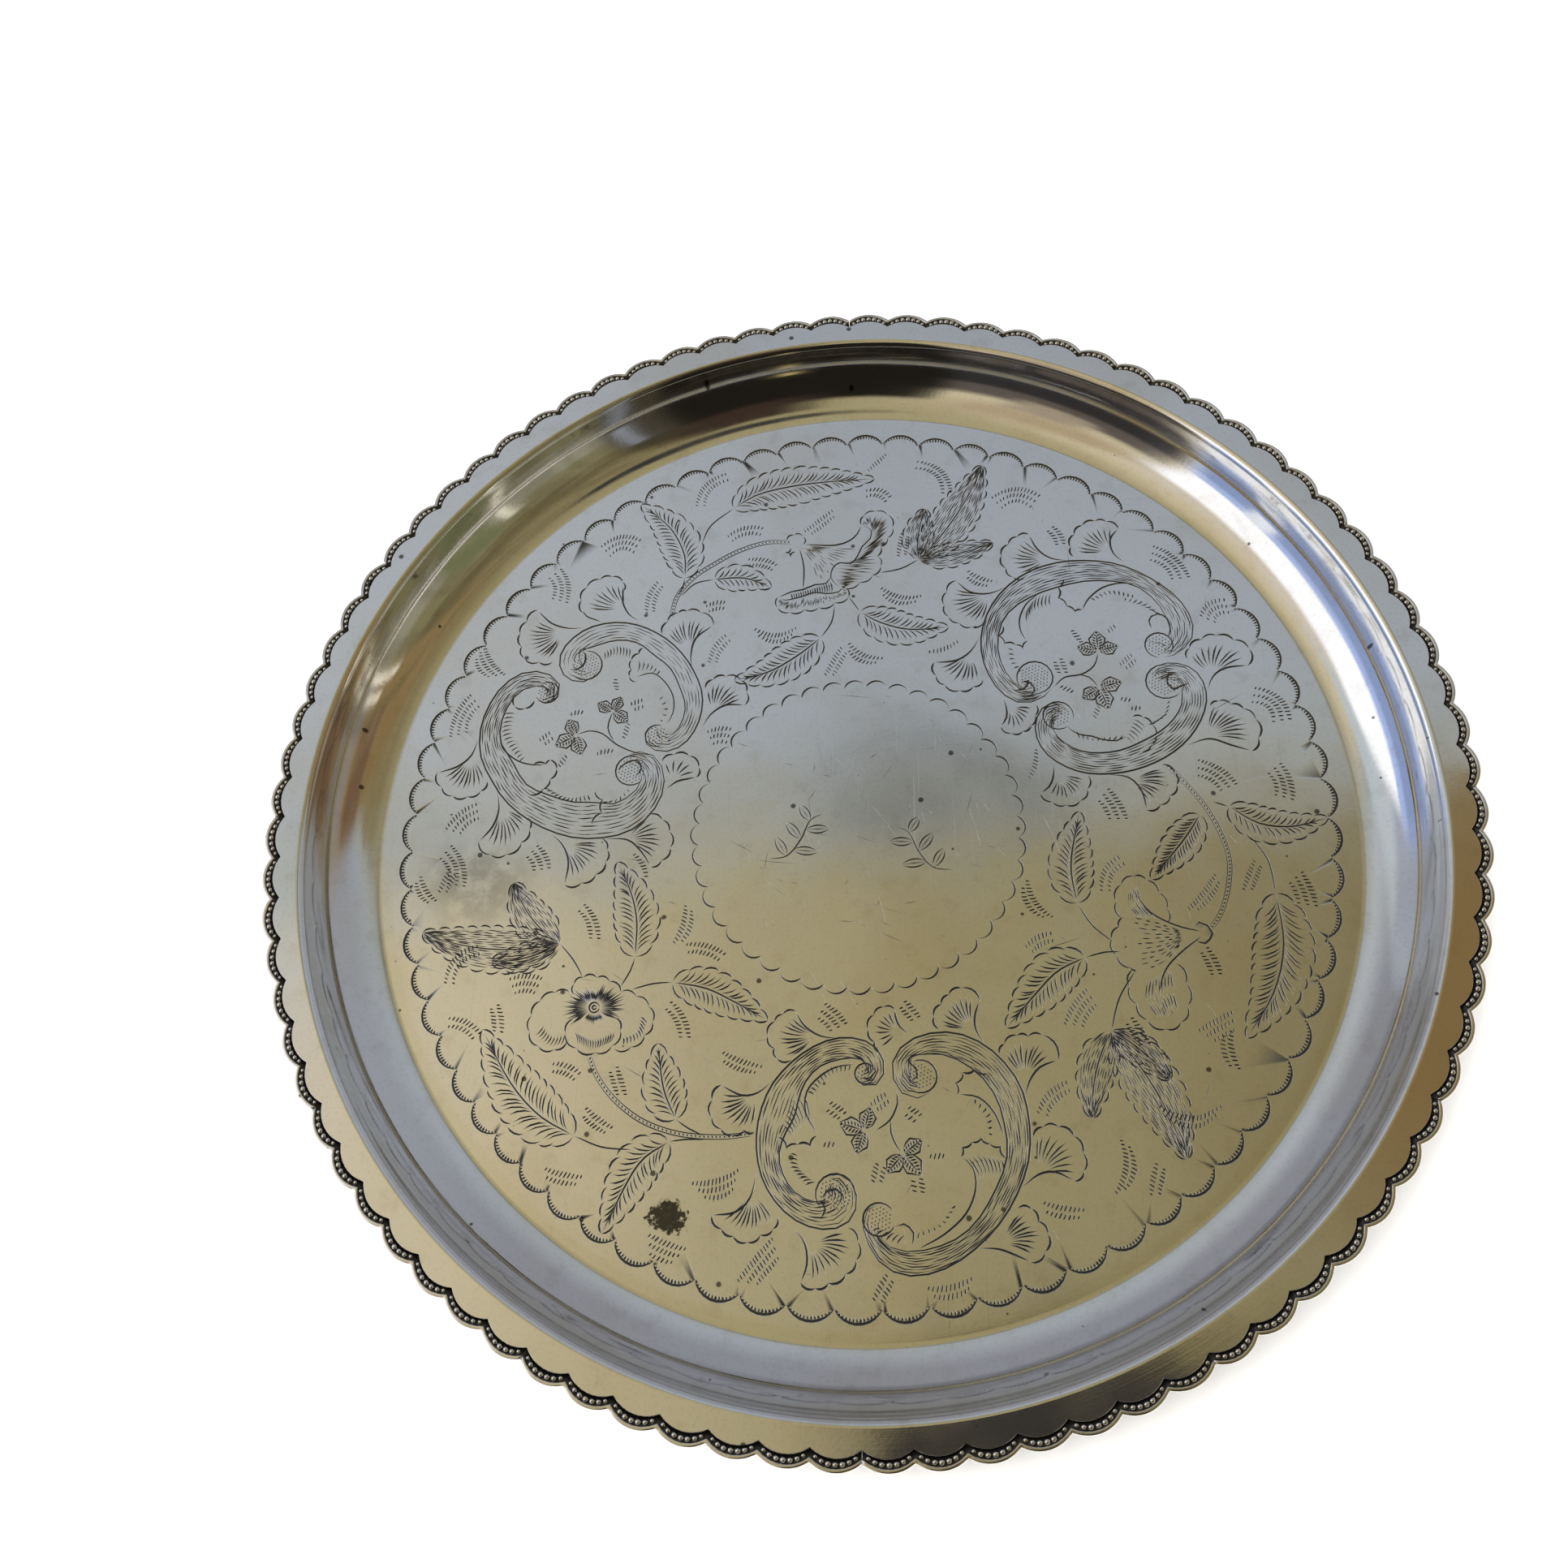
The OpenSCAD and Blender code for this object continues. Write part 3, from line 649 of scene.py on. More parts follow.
def right_spray():
    rope([(80, 15), (85, 9), (90, 1), (93.3, -9), (93, -17), (90.4, -25), (87, -30)])
    leaf([(87.5, 0.5), (83, -6), (74, -16.5)], 8, None, True)
    leaf([(95, 2.5), (102, -2.2), (110, -3.3), (119, -1.2)], 8.5, [(91, 4), (95, 2.5)])
    leaf([(104, -21), (104.3, -34), (100.5, -46), (93, -57)], 13, [(99, -5), (103, -12), (104, -21)])
    leaf([(55, -22.5), (54.2, -12), (57.2, 2)], 10, [(63.5, -33), (58.5, -28.5), (55, -22.5)])
    leaf([(56, -36.6), (49, -40), (43, -46), (36, -53.8)], 10.5, [(65, -35.3), (61, -35.3), (56, -36.6)])
    shaded_leaf((61, -55), [((76, -85.6), 12, 2.0), ((55, -76), 8, -1.5), ((74, -67), 7, 1.0)],
                [(68, -40), (63.5, -47), (61, -55)])
    scalloped([(76.6, -28), (76.8, -24.4), (75.2, -20.3), (72.6, -17), (69.6, -15.8), (66.4, -18),
              (64.9, -22.2), (66, -26.6), (65, -29), (63, -32), (64, -36), (67, -39.3), (68.2, -40)],
              0.5, 0.26, 0.5, -1)
    scalloped([(67.5, -40), (66.4, -44), (67.8, -48.4), (70, -52.3), (74, -54.6), (77.6, -53), (79.5, -49),
               (79.6, -43.6), (77.8, -38.6)], 0.5, 0.26, 0.5, -1)
    line([(85, -30.5), (79, -28.8), (73, -25.3), (69.5, -20)], 0.5)
    line([(85, -31.5), (79.5, -35.6), (75.3, -40), (73, -46)], 0.5)
    line([(83, -29.5), (84.5, -28), (86.5, -29), (87.5, -31), (85.5, -33.5), (83, -32.5)], 0.6)
    flow([[(80, -30.3), (74, -28), (68.5, -26.5)], [(80, -33), (75, -38), (69.5, -40)]],
         10, (1.2, 2.4), 0.34)
    flow([[(74, -27), (71, -23), (70, -18.5)], [(70.5, -27), (68, -23.5), (68, -19.5)]], 5, (3, 6), 0.34)
    flow([[(76.5, -40), (76.5, -45), (77.3, -51)], [(71, -42), (70, -47), (72.5, -52)]], 8, (3, 6), 0.34)


def lower_spray():
    rope([(-67.5, -59.5), (-65, -65), (-60, -71), (-53, -76), (-44, -79), (-34, -79.8), (-26, -79)])
    leaf([(-57, -34.5), (-57, -25), (-59, -17), (-62.8, -9)], 10.5, [(-60.5, -42.5), (-58, -38),
         (-57, -34.5)])
    leaf([(-47, -41.3), (-38.5, -43), (-31, -46.7), (-23, -51.3)], 9.5, [(-57.5, -43), (-52, -41.6),
         (-47, -41.3)])
    leaf([(-70, -79.3), (-79, -74.3), (-87, -66), (-95, -53)], 12.5, [(-55.5, -82.7), (-63, -82),
         (-70, -79.3)])
    leaf([(-45, -75.5), (-48.3, -68), (-50.2, -57)], 9.5, [(-38, -79.5), (-42, -77.6), (-45, -75.5)])
    leaf([(-46.5, -80.8), (-54, -86.5), (-61.8, -102)], 10, [(-37.5, -80.4), (-42, -80.3), (-46.5, -80.8)])
    shaded_leaf((-76.8, -30.6), [((-113.5, -27), 11, 3.0), ((-90, -13.8), 9, 2.0), ((-94.5, -35), 7, 1.5)],
                [(-70, -40), (-73, -35), (-76.8, -30.6)])
    scalloped([(-72, -44), (-72.3, -41.5), (-70, -39.8), (-66.6, -40), (-63.3, -41), (-60.4, -43.8)],
              0.5, 0.3, 0.5, 1)
    scalloped([(-73.5, -43.6), (-77, -43.6), (-80.7, -45.8), (-82.6, -49.5), (-82.8, -53.5),
              (-80.4, -57), (-76.5, -58), (-73.4, -56)], 0.5, 0.26, 0.5, -1)
    scalloped([(-60, -43.6), (-56.3, -45), (-53, -47.6), (-51.9, -51.3), (-53.8, -54.6), (-57, -57.5),
              (-61, -58)], 0.5, 0.26, 0.5, 1)
    scalloped([(-72, -50.5), (-73.6, -54), (-70.6, -57.6), (-66, -58.8), (-61.9, -57.2), (-60, -53.4),
              (-61.2, -50.3)], 0.55, 0.26, 0.5, -1)
    centre = complex(-66.8, -47.5)
    ball(-66.8, -47.5, 1.3, 0, 360, False)
    ball(-66.8, -47.5, 0.5, 0, 360, False)
    for k in range(46):
        angle = math.radians(-35 + 250 * k / 45)
        reach = 4.6 + 3.2 * abs(math.cos(angle)) + rng.uniform(-1, 1)
        cut([centre + cmath.rect(1.7, angle), centre + cmath.rect(reach * 0.6, angle + 0.06),
             centre + cmath.rect(reach, angle + rng.uniform(0, 0.14))], 0.5, 0.4)
    for k in range(13):
        angle = math.radians(232 + 76 * k / 12)
        cut([centre + cmath.rect(1.7, angle), centre + cmath.rect(3, angle),
             centre + cmath.rect(4 + rng.uniform(-0.8, 0.8), angle)], 0.4)
    comb([(-71.5, -53.5), (-66.5, -55.5), (-61.5, -53.5)], [(-70.5, -57), (-66.5, -58.3),
         (-62.5, -56.8)], 16, 0.36)
    comb([(-79.5, -52), (-77, -54.5), (-74, -54)], [(-81.5, -54.5), (-78, -57.2), (-75, -57.3)], 9, 0.36)
    comb([(-55, -50), (-55.8, -53.5), (-59, -55)], [(-53, -52), (-54.8, -55.8), (-59, -57.3)], 10, 0.4)


# Clusters of ticks that fill the ground: place, direction, length, rows and bend
PUFFS = [
    (-41, 105, 52, 14, 2, .18), (7, 112, 45, 8, 1, 0), (23, 106, -50, 15, 2, .2),
    (7, 101, -20, 8, 2, .2), (46, 98, 0, 14, 3, .2), (-10, 93, 40, 11, 2, 0), (-31, 90, 12, 11, 2, .15),
    (-67, 88, 8, 12, 3, .2), (57, 85, -65, 7, 2, .1), (13, 84, 80, 8, 2, 0), (-26, 80, -15, 9, 2, .1),
    (-83, 75, -78, 12, 3, .12), (87, 75, -50, 14, 3, .12), (35, 73, -28, 8, 2, -.1),
    (-57, 70, 75, 11, 2, .1), (-39, 67, 10, 6, 2, .1), (13, 69, -15, 12, 2, -.15),
    (-22, 59, 0, 12, 2, -.2), (97, 60, 35, 9, 3, .2), (-38, 53, 62, 10, 2, .1),
    (24, 51.5, 20, 9, 1, -.1), (3, 51, -28, 11, 2, -.15), (-6, 48, 62, 10, 2, 0),
    (-101, 52, -55, 12, 3, -.1), (-109, 35, 70, 14, 3, .1), (109, 31, -50, 13, 3, .2),
    (-37, 28, 5, 7, 3, .1), (93, 12, -38, 12, 3, .1), (110, 9, -80, 11, 3, .1), (-106, 5, 42, 11, 3, .1),
    (46, 16, 75, 9, 1, -.1), (67, 4, -65, 10, 3, .05), (-106, -9, -68, 13, 3, .12),
    (-83, -7, -60, 8, 3, .1), (-57, -10, -60, 8, 1, .1), (64, -15, 60, 11, 2, .15),
    (46, -21, -60, 12, 2, -.15), (-46, -26, 75, 11, 2, -.1), (-69, -25, -65, 11, 2, .1),
    (-113, -15, -55, 9, 2, -.1), (-39, -33, -15, 11, 2, .1), (45, -32, 28, 8, 2, .1),
    (-102, -36, 52, 13, 2, .2), (-85, -40, 0, 9, 3, .1), (112, -20, -75, 10, 3, .05),
    (98, -16, 65, 9, 2, 0), (86, -20, 50, 12, 2, -.05), (53, -49, 55, 11, 3, .05),
    (-45, -51, -62, 11, 2, .1), (-6, -50, -45, 8, 3, .05), (13, -49, -50, 6, 2, 0),
    (-100, -52, -25, 10, 2, .12), (-91, -50, -78, 8, 2, .05), (86, -53, 28, 10, 3, 0),
    (87, -38, -70, 8, 2, .05), (-73, -63, -20, 8, 2, .1), (-29, -61, -20, 11, 2, -.05),
    (-59, -66, -70, 8, 2, 0), (90, -60, -85, 10, 2, -.1), (46, -71, 45, 11, 2, .1),
    (-64, -75, -35, 9, 2, -.05), (78, -73, 0, 15, 2, -.2), (-35, -89, 15, 12, 3, -.1),
    (-72, -88, -12, 10, 2, -.05), (60, -87, 80, 13, 2, -.15), (68, -90, 75, 8, 2, 0),
    (47, -96, -10, 10, 2, -.05), (-25, -108, 50, 13, 3, 0), (4, -114, 60, 7, 2, 0),
    (-46, -104, -20, 10, 3, -.05), (20, -113, 12, 11, 2, -.1), (68, -55, -60, 8, 2, 0),
    (-66, 43, -80, 4, 1, 0), (-85, 28, 40, 4, 2, 0), (-76.5, 34.5, 10, 4, 1, .1),
    (-68, 22.5, 10, 5, 1, .1), (-79.5, 20.5, 60, 4, 1, 0), (-60, 37.5, 20, 4, 2, 0),
    (-62.5, 29, 75, 5, 1, 0), (60, 53, -60, 5, 1, 0), (69.5, 55, 40, 3, 1, 0), (56, 44.3, -75, 5, 2, 0),
    (72.5, 45.5, 40, 5, 2, 0), (56.3, 37.3, -30, 4, 1, 0), (71.5, 33.7, -10, 3, 1, 0),
    (63.8, 30.3, 65, 4, 1, 0), (74, 31, 0, 3, 1, 0), (-5.5, -73, -35, 5, 2, 0), (4.3, -71, 35, 5, 2, 0),
    (13, -74, -35, 4, 2, 0), (-7.7, -81.7, 0, 3, 1, 0), (18, -84.5, 0, 4, 1, 0),
    (3.2, -88.3, 75, 5, 2, 0), (14.2, -91.3, -85, 4, 2, 0), (-109, -13, 70, 7, 2, 0),
]


def sprig(centre, way, mirrored):
    """A curved stem with five small plain leaves."""
    def place(x, y):
        return centre + complex(x, -y if mirrored else y) * way
    stem = [place(*p) for p in ((-9, -3), (-4, -4), (1, -1), (5, 3), (9, 3.5))]
    cut(smooth(stem, 1.2), 0.42, 0.5, 0.5)
    leaves = (((-4, -4), (-5, 2)), ((-2, -3), (4, -6)), ((1, -1), (-1, 5)), ((3, 1), (9, -1)), ((5, 3),
              (4, 8)))
    for at, tip in leaves:
        a, b = place(*at), place(*tip)
        for bulge in (1.1, -1.1):
            cut(arc(a, b, bulge, 6), 0.42, 0.5)
        cut([a, (a + b) / 2, b], 0.3)


def middle_sprigs():
    """Two small sprigs, one the mirror image of the other, in the plain middle."""
    tilt = 0.35
    sprig(complex(-16, -3), cmath.exp(1j * tilt), False)
    sprig(complex(17, -7), cmath.exp(1j * (math.pi - tilt)), True)


def engrave():
    rings()
    left_cartouche()
    right_cartouche()
    lower_cartouche()
    top_spray()
    right_spray()
    lower_spray()
    for x, y, angle, length, rows, bend in PUFFS:
        puff(x, y, angle, length, rows, bend)
    middle_sprigs()


def scratches():
    """Fine scratches from use, thickest in the plain middle."""
    for k in range(150):
        reach = 38 if k < 60 else 118
        centre = cmath.rect(reach * math.sqrt(rng.random()), rng.uniform(0, 2 * math.pi))
        length = rng.uniform(1.5, 5) if rng.random() < 0.8 else rng.uniform(7, 14)
        way = cmath.rect(length, rng.gauss(2.3, 0.7))
        if abs(centre) + abs(way) / 2 < FLOOR_R - 3.3:
            cut([centre - way / 2, centre + jitter(0.1), centre + way / 2], rng.uniform(0.1, 0.2), 0.5, 0.4)


# ---------------------------------------------------------------- the dish


class Solid:
    """Gathers points and faces in millimetres, joining points that coincide, and makes a mesh object."""

    def __init__(self):
        self.points, self.patina, self.faces, self.smooth, self.index = [], [], [], [], {}

    def point(self, x, y, z, patina=0.0):
        key = (round(x, 4), round(y, 4), round(z, 4))
        if key not in self.index:
            self.index[key] = len(self.points)
            self.points.append(key)
            self.patina.append(patina)
        return self.index[key]

    def face(self, *ids, smooth=True):
        ids = [a for i, a in enumerate(ids) if a != ids[i - 1]]
        if len(ids) > 2:
            self.faces.append(ids)
            self.smooth.append(smooth)

    def strip(self, first, second, closed=True, smooth=True):
        """Quads between two rows of as many points."""
        count = len(first)
        for i in range(count if closed else count - 1):
            j = (i + 1) % count
            self.face(first[i], first[j], second[j], second[i], smooth=smooth)

    def make(self, name, material):
        mesh = bpy.data.meshes.new(name)
        mesh.from_pydata([(x * MM, y * MM, z * MM) for x, y, z in self.points], [], self.faces)
        mesh.polygons.foreach_set("use_smooth", self.smooth)
        tone = mesh.attributes.new("patina", "FLOAT", "POINT")
        tone.data.foreach_set("value", self.patina)
        mesh.materials.append(material)
        mesh.update()
        piece = bpy.data.objects.new(name, mesh)
        bpy.context.collection.objects.link(piece)
        return piece


def groove_slope(half):
    """How steeply a cut's sides fall: wide cuts are shallower."""
    return min(0.6, 0.12 / max(half.max(), 0.01))


def floor_patch(loop):
    """Triangles of the floor inside loop, cut along every groove, and the depth of each point."""
    points, edges = list(loop), [(i, (i + 1) % len(loop)) for i in range(len(loop))]
    for pts, half in CUTS:
        n = len(pts)
        side_way = normals(pts)
        first = len(points)
        left = pts[1:-1] + side_way[1:-1] * half[1:-1]
        right = pts[1:-1] - side_way[1:-1] * half[1:-1]
        points += [*pts, *left, *right]
        middle = list(range(first, first + n))
        above = [middle[0]] + list(range(first + n, first + 2 * n - 2)) + [middle[-1]]
        below = [middle[0]] + list(range(first + 2 * n - 2, first + 3 * n - 4)) + [middle[-1]]
        for chain in (middle, above, below):
            edges += zip(chain, chain[1:])
    flat = [Vector((p.real, p.imag)) for p in points]
    out = delaunay_2d_cdt(flat, edges, [], 0, 0.015, True)
    place = np.array([complex(v.x, v.y) for v in out[0]])
    for i, sources in enumerate(out[3]):
        for source in sources:
            if source < len(loop):
                place[i] = loop[source]
    return place, out[2], groove_depths(place)


def groove_depths(place):
    """The depth of the deepest cut at each point."""
    cell = 2.0
    order = {}
    for i, key in enumerate(zip((place.real // cell).astype(int), (place.imag // cell).astype(int))):
        order.setdefault(key, []).append(i)
    depth = np.zeros(len(place))
    for pts, half in CUTS:
        slope = groove_slope(half)
        reach = half.max() + 0.01
        low_x, high_x = int((pts.real.min() - reach) // cell), int((pts.real.max() + reach) // cell)
        low_y, high_y = int((pts.imag.min() - reach) // cell), int((pts.imag.max() + reach) // cell)
        near = [i for a in range(low_x, high_x + 1) for b in range(low_y, high_y + 1)
                for i in order.get((a, b), ())]
        if not near:
            continue
        near = np.array(near)
        here = place[near]
        best = np.zeros(len(near))
        for a, b, wa, wb in zip(pts, pts[1:], half, half[1:]):
            chord = b - a
            size = abs(chord) ** 2
            if size < 1e-12:
                continue
            t = (((here - a) * chord.conjugate()).real / size).clip(0, 1)
            best = np.maximum(best, slope * (wa + (wb - wa) * t - abs(here - a - t * chord)))
        np.maximum.at(depth, near, best)
    return depth


def edge_loop(arc_centre_r, radius, steps, start=0, count=SCALLOPS, pitch=SCALLOP_PITCH):
    """A scalloped outline, as points from valley to valley."""
    half_way = arc_centre_r * math.sin(pitch / 2)
    meet = arc_centre_r * math.cos(pitch / 2) + math.sqrt(radius ** 2 - half_way ** 2)
    half_arc = math.atan2(meet * math.sin(pitch / 2), meet * math.cos(pitch / 2) - arc_centre_r)
    out = []
    for k in range(count):
        for i in range(steps):
            angle = -half_arc + 2 * half_arc * i / steps
            out.append((arc_centre_r + cmath.rect(radius, angle))
                       * cmath.rect(1, start + (k + 0.5) * pitch))
    return out


def profile_arc(centre_r, centre_h, radius, start, end, steps):
    """Radii and heights along an arc of the wall's profile; the angles are in degrees."""
    angles = [math.radians(start + (end - start) * i / steps) for i in range(steps + 1)]
    return [(centre_r + radius * math.cos(a), centre_h + radius * math.sin(a)) for a in angles]


def ring_row(solid, r, z):
    """Points all round the dish at one radius and height."""
    turns = [2 * math.pi * i / TURN_STEPS for i in range(TURN_STEPS)]
    return [solid.point(r * math.cos(a), r * math.sin(a), z) for a in turns]


def annulus(solid, inner_r, outline, z, up):
    """The flat ring between a circle and a scalloped outline, which both start on +X."""
    inner = ring_row(solid, inner_r, z)
    outer = [solid.point(p.real, p.imag, z) for p in outline]
    inner_turn = [2 * math.pi * i / TURN_STEPS for i in range(TURN_STEPS + 1)]
    outer_turn = np.unwrap([cmath.phase(p) for p in outline + outline[:1]])
    i = j = 0
    while i < len(inner) or j < len(outer):
        corners = [inner[i % len(inner)], outer[j % len(outer)]]
        if j == len(outer):
            inner_next = True
        elif i == len(inner):
            inner_next = False
        else:
            inner_next = inner_turn[i] + inner_turn[i + 1] < outer_turn[j] + outer_turn[j + 1]
        if inner_next:
            i += 1
            corners.append(inner[i % len(inner)])
        else:
            j += 1
            corners.append(outer[j % len(outer)])
        solid.face(*(corners if up else corners[::-1]), smooth=False)


def engraved_floor(solid):
    """The floor with its grooves; a groove is darkest where it is deepest."""
    loop = [cmath.rect(FLOOR_R, 2 * math.pi * i / TURN_STEPS) for i in range(TURN_STEPS)]
    place, triangles, depth = floor_patch(loop)
    ids = [solid.point(p.real, p.imag, SHEET_T - d, min(1.0, d / FULL_DIRT_DEPTH))
           for p, d in zip(place, depth)]
    for tri in triangles:
        solid.face(*(ids[i] for i in tri), smooth=False)


def turned_wall(solid, profile):
    """The skin that a profile sweeps round the axis; returns the last row of points."""
    rows = [ring_row(solid, r, z) for r, z in profile]
    for first, second in zip(rows, rows[1:]):
        solid.strip(second, first)
    return rows[-1]


def scalloped_edge(solid):
    """The flange's top and underside, and its slightly rounded, tarnished edge."""
    edge = edge_loop(FLANGE_ARC_CENTRE_R, SCALLOP_R, SCALLOP_STEPS)
    inset = edge_loop(FLANGE_ARC_CENTRE_R, SCALLOP_R - 0.14, SCALLOP_STEPS)
    low = RIM_H - SHEET_T
    annulus(solid, FLANGE_START_R, inset, RIM_H, True)
    levels = [(inset, RIM_H, 0.0), (edge, RIM_H - 0.12, 0.25), (edge, RIM_H - 0.35, 0.8), (edge, low, 1.0)]
    rows = [[solid.point(p.real, p.imag, z, tone) for p in pts] for pts, z, tone in levels]
    for above, below in zip(rows, rows[1:]):
        solid.strip(below, above)
    annulus(solid, FLANGE_START_R, edge, low, False)


def build_dish(material):
    """The whole spun dish as one closed skin, with the engraved floor."""
    solid = Solid()
    engraved_floor(solid)
    cove_top, shoulder_foot = WALL_ANGLE - 90, 90 + WALL_ANGLE * 7 / 8
    foot_top = FOOT_ANGLE - 90
    foot_h, shoulder_h = SHEET_T + FOOT_R, RIM_H - SHOULDER_R
    turned_wall(solid, profile_arc(FLOOR_R, foot_h, FOOT_R, -90, foot_top - FOOT_ANGLE / 4, 3)
                + profile_arc(COVE_CENTRE_R, COVE_CENTRE_H, COVE_R, foot_top, cove_top, 19)
                + profile_arc(FLANGE_START_R, shoulder_h, SHOULDER_R, shoulder_foot, 90, 7))
    scalloped_edge(solid)
    under_shoulder = profile_arc(FLANGE_START_R, shoulder_h, SHOULDER_R - SHEET_T, 90, shoulder_foot, 4)
    last = turned_wall(solid, under_shoulder
                       + profile_arc(COVE_CENTRE_R, COVE_CENTRE_H, COVE_R + SHEET_T, cove_top, foot_top, 9)
                       + profile_arc(FLOOR_R, foot_h, FOOT_R + SHEET_T, foot_top - FOOT_ANGLE / 2, -90, 1)
                       + [(90, 0), (40, 0)])
    centre = solid.point(0, 0, 0)
    for a, b in zip(last, last[1:] + last[:1]):
        solid.face(centre, b, a)
    return solid.make("dish", material)


# ---------------------------------------------------------------- the border


def border_warp(p):
    """Small unevenness of the struck rim: it only ever draws points in."""
    angle = cmath.phase(p)
    share = min(1.0, max(0.0, (abs(p) - 147) / 4))
    pull = 0.16 + 0.09 * math.sin(11 * angle + 0.7) + 0.07 * math.sin(29 * angle + 2.1)
    return p * (1 - share * pull / abs(p)) * cmath.rect(1, share * 0.0006 * math.sin(41 * angle + 1.3))


class Chains:
    """Lines of points, each with a height and a patina, that the border's top is cut along."""

    def __init__(self):
        self.points, self.edges, self.marks = [], [], []

    def add(self, chain, closed=False):
        first, last = len(self.points), len(self.points) + len(chain) - 1
        for p, z, tone in chain:
            self.points.append(p)
            self.marks.append((z, tone))
        self.edges.extend((i, i + 1) for i in range(first, last))
        if closed:
            self.edges.append((last, first))
        return first, last


# The lip's profile: distance in from the edge, height and patina
LIP_PROFILE = [
    (0, STRIP_TOP_H - 0.05, 0.4), (0.07, LIP_TOP_H - 0.2, 0.1), (0.22, LIP_TOP_H - 0.06, 0),
    (0.74, LIP_TOP_H - 0.02, 0), (0.9, LIP_TOP_H - 0.07, 0.25), (0.98, STRIP_TOP_H, 1.0),
]
# A bead's rings: share of its radius, and patina
BEAD_RINGS = [(1.0, 1.0), (0.97, 0.4), (0.86, 0.0), (0.64, 0.0), (0.36, 0.0)]


def add_bead(chains, hub, size, tall):
    """A domed bead, as rings round its hub."""
    for share, tone in BEAD_RINGS:
        rise = BEAD_RISE + size * math.sqrt(1 - share ** 2) if share < 1 else 0.0
        ring = [hub + cmath.rect(size * share, 2 * math.pi * i / BEAD_SIDES) for i in range(BEAD_SIDES)]
        chains.add([(p, STRIP_TOP_H + rise * tall, tone) for p in ring], True)
    chains.add([(hub, STRIP_TOP_H + (BEAD_RISE + size) * tall, 0.0)])


def add_beads(chains, start, pitch, count, shake):
    """The rows of beads of count scallops, each bead a little uneven."""
    middle = (BEADS - 1) / 2
    for k in range(count):
        turn = cmath.rect(1, start + (k + 0.5) * pitch)
        for b in range(BEADS):
            swell = (MIDDLE_BEAD_R - END_BEAD_R) * (1 - ((b - middle) / middle) ** 2)
            size = (END_BEAD_R + swell) * shake.uniform(0.95, 1.03)
            reach = BEAD_ARC_R + shake.uniform(-0.05, 0.0)
            angle = (b - middle) * BEAD_STEP + shake.uniform(-0.006, 0.006)
            hub = (BORDER_ARC_CENTRE_R + cmath.rect(reach, angle)) * turn
            add_bead(chains, hub, size, shake.uniform(0.94, 1.0))


def border_top(solid, chains, rows, inner, start, span):
    """The faces of the top, cut along the chains, between the inner edge and the scalloped one."""
    flat = [Vector((p.real, p.imag)) for p in chains.points]
    out = delaunay_2d_cdt(flat, chains.edges, [], 0, 1e-5, True)
    ids = []
    for v, source in zip(out[0], out[3]):
        z, tone = chains.marks[source[0]] if source else (STRIP_TOP_H, 1.0)
        p = border_warp(chains.points[source[0]] if source else complex(v.x, v.y))
        ids.append(solid.point(p.real, p.imag, z, tone))
    straight = cmath.rect(1, -start - span / 2)
    outline = np.array([p for p, _, _ in rows[0]])
    angles, reach = np.angle(outline * straight), abs(outline)
    low = STRIP_INNER_R * (1 - (span / (len(inner) - 1)) ** 2 / 5)
    for tri in out[2]:
        middle = sum((complex(out[0][i].x, out[0][i].y) for i in tri), 0j) / 3
        angle = cmath.phase(middle * straight)
        inside = low < abs(middle) < np.interp(angle, angles, reach) + 1e-3
        if inside and abs(angle) < span / 2 - 1e-6:
            solid.face(*(ids[i] for i in tri))


def border_sides(solid, rows, inner):
    """The underside and the four sides of one length."""
    edge = [(border_warp(p), z, tone) for p, z, tone in rows[0]]
    outer_top = [solid.point(p.real, p.imag, z, tone) for p, z, tone in edge]
    outer_low = [solid.point(p.real, p.imag, STRIP_LOW_H, 0.2) for p, _, _ in edge]
    outer_mid = [solid.point(p.real, p.imag, STRIP_LOW_H + STRIP_T / 2, 0.1) for p, _, _ in edge]
    inner_top = [solid.point(p.real, p.imag, z, tone) for p, z, tone in inner]
    inner_low = [solid.point(p.real, p.imag, STRIP_LOW_H, 0.4) for p, _, _ in inner]
    solid.strip(outer_low, outer_mid, False)
    solid.strip(outer_mid, outer_top, False)
    solid.strip(inner_top, inner_low, False)
    solid.strip(inner_low, outer_low, False, smooth=False)
    for side in (0, -1):
        cap = [inner_top[side], inner_low[side], outer_low[side], outer_mid[side]]
        for row in rows:
            p, z, tone = row[side]
            p = border_warp(p)
            cap.append(solid.point(p.real, p.imag, z, tone))
        solid.face(*(cap if side == 0 else cap[::-1]), smooth=False)


def build_border_length(index, material):
    """One length of seven scallops: a lip, a dark channel and domed beads on a flat strip."""
    solid, chains = Solid(), Chains()
    shake = random.Random(100 + index)
    per = SCALLOPS // LENGTHS
    span = 2 * math.pi / LENGTHS - SEAM_GAP / RIM_TIP_R
    start = (index - 1) * 2 * math.pi / LENGTHS + SEAM_GAP / 2 / RIM_TIP_R
    rows = []
    for inset, z, tone in LIP_PROFILE:
        row = edge_loop(BORDER_ARC_CENTRE_R, SCALLOP_R - inset, BORDER_STEPS, start, per, span / per)
        row.append(abs(row[0]) * cmath.rect(1, start + span))
        rows.append([(p, z, tone) for p in row])
    steps = per * BORDER_STEPS
    inner = [(cmath.rect(STRIP_INNER_R, start + span * i / steps), STRIP_TOP_H, 1.0)
             for i in range(steps + 1)]
    ends = [chains.add(chain) for chain in rows + [inner]]
    for side in (0, 1):
        corners = [pair[side] for pair in ends]
        chains.edges.extend(zip(corners, corners[1:]))
    add_beads(chains, start, span / per, per, shake)
    border_top(solid, chains, rows, inner, start, span)
    border_sides(solid, rows, inner)
    return solid.make(f"border_{index:02d}", material)


# ---------------------------------------------------------------- materials


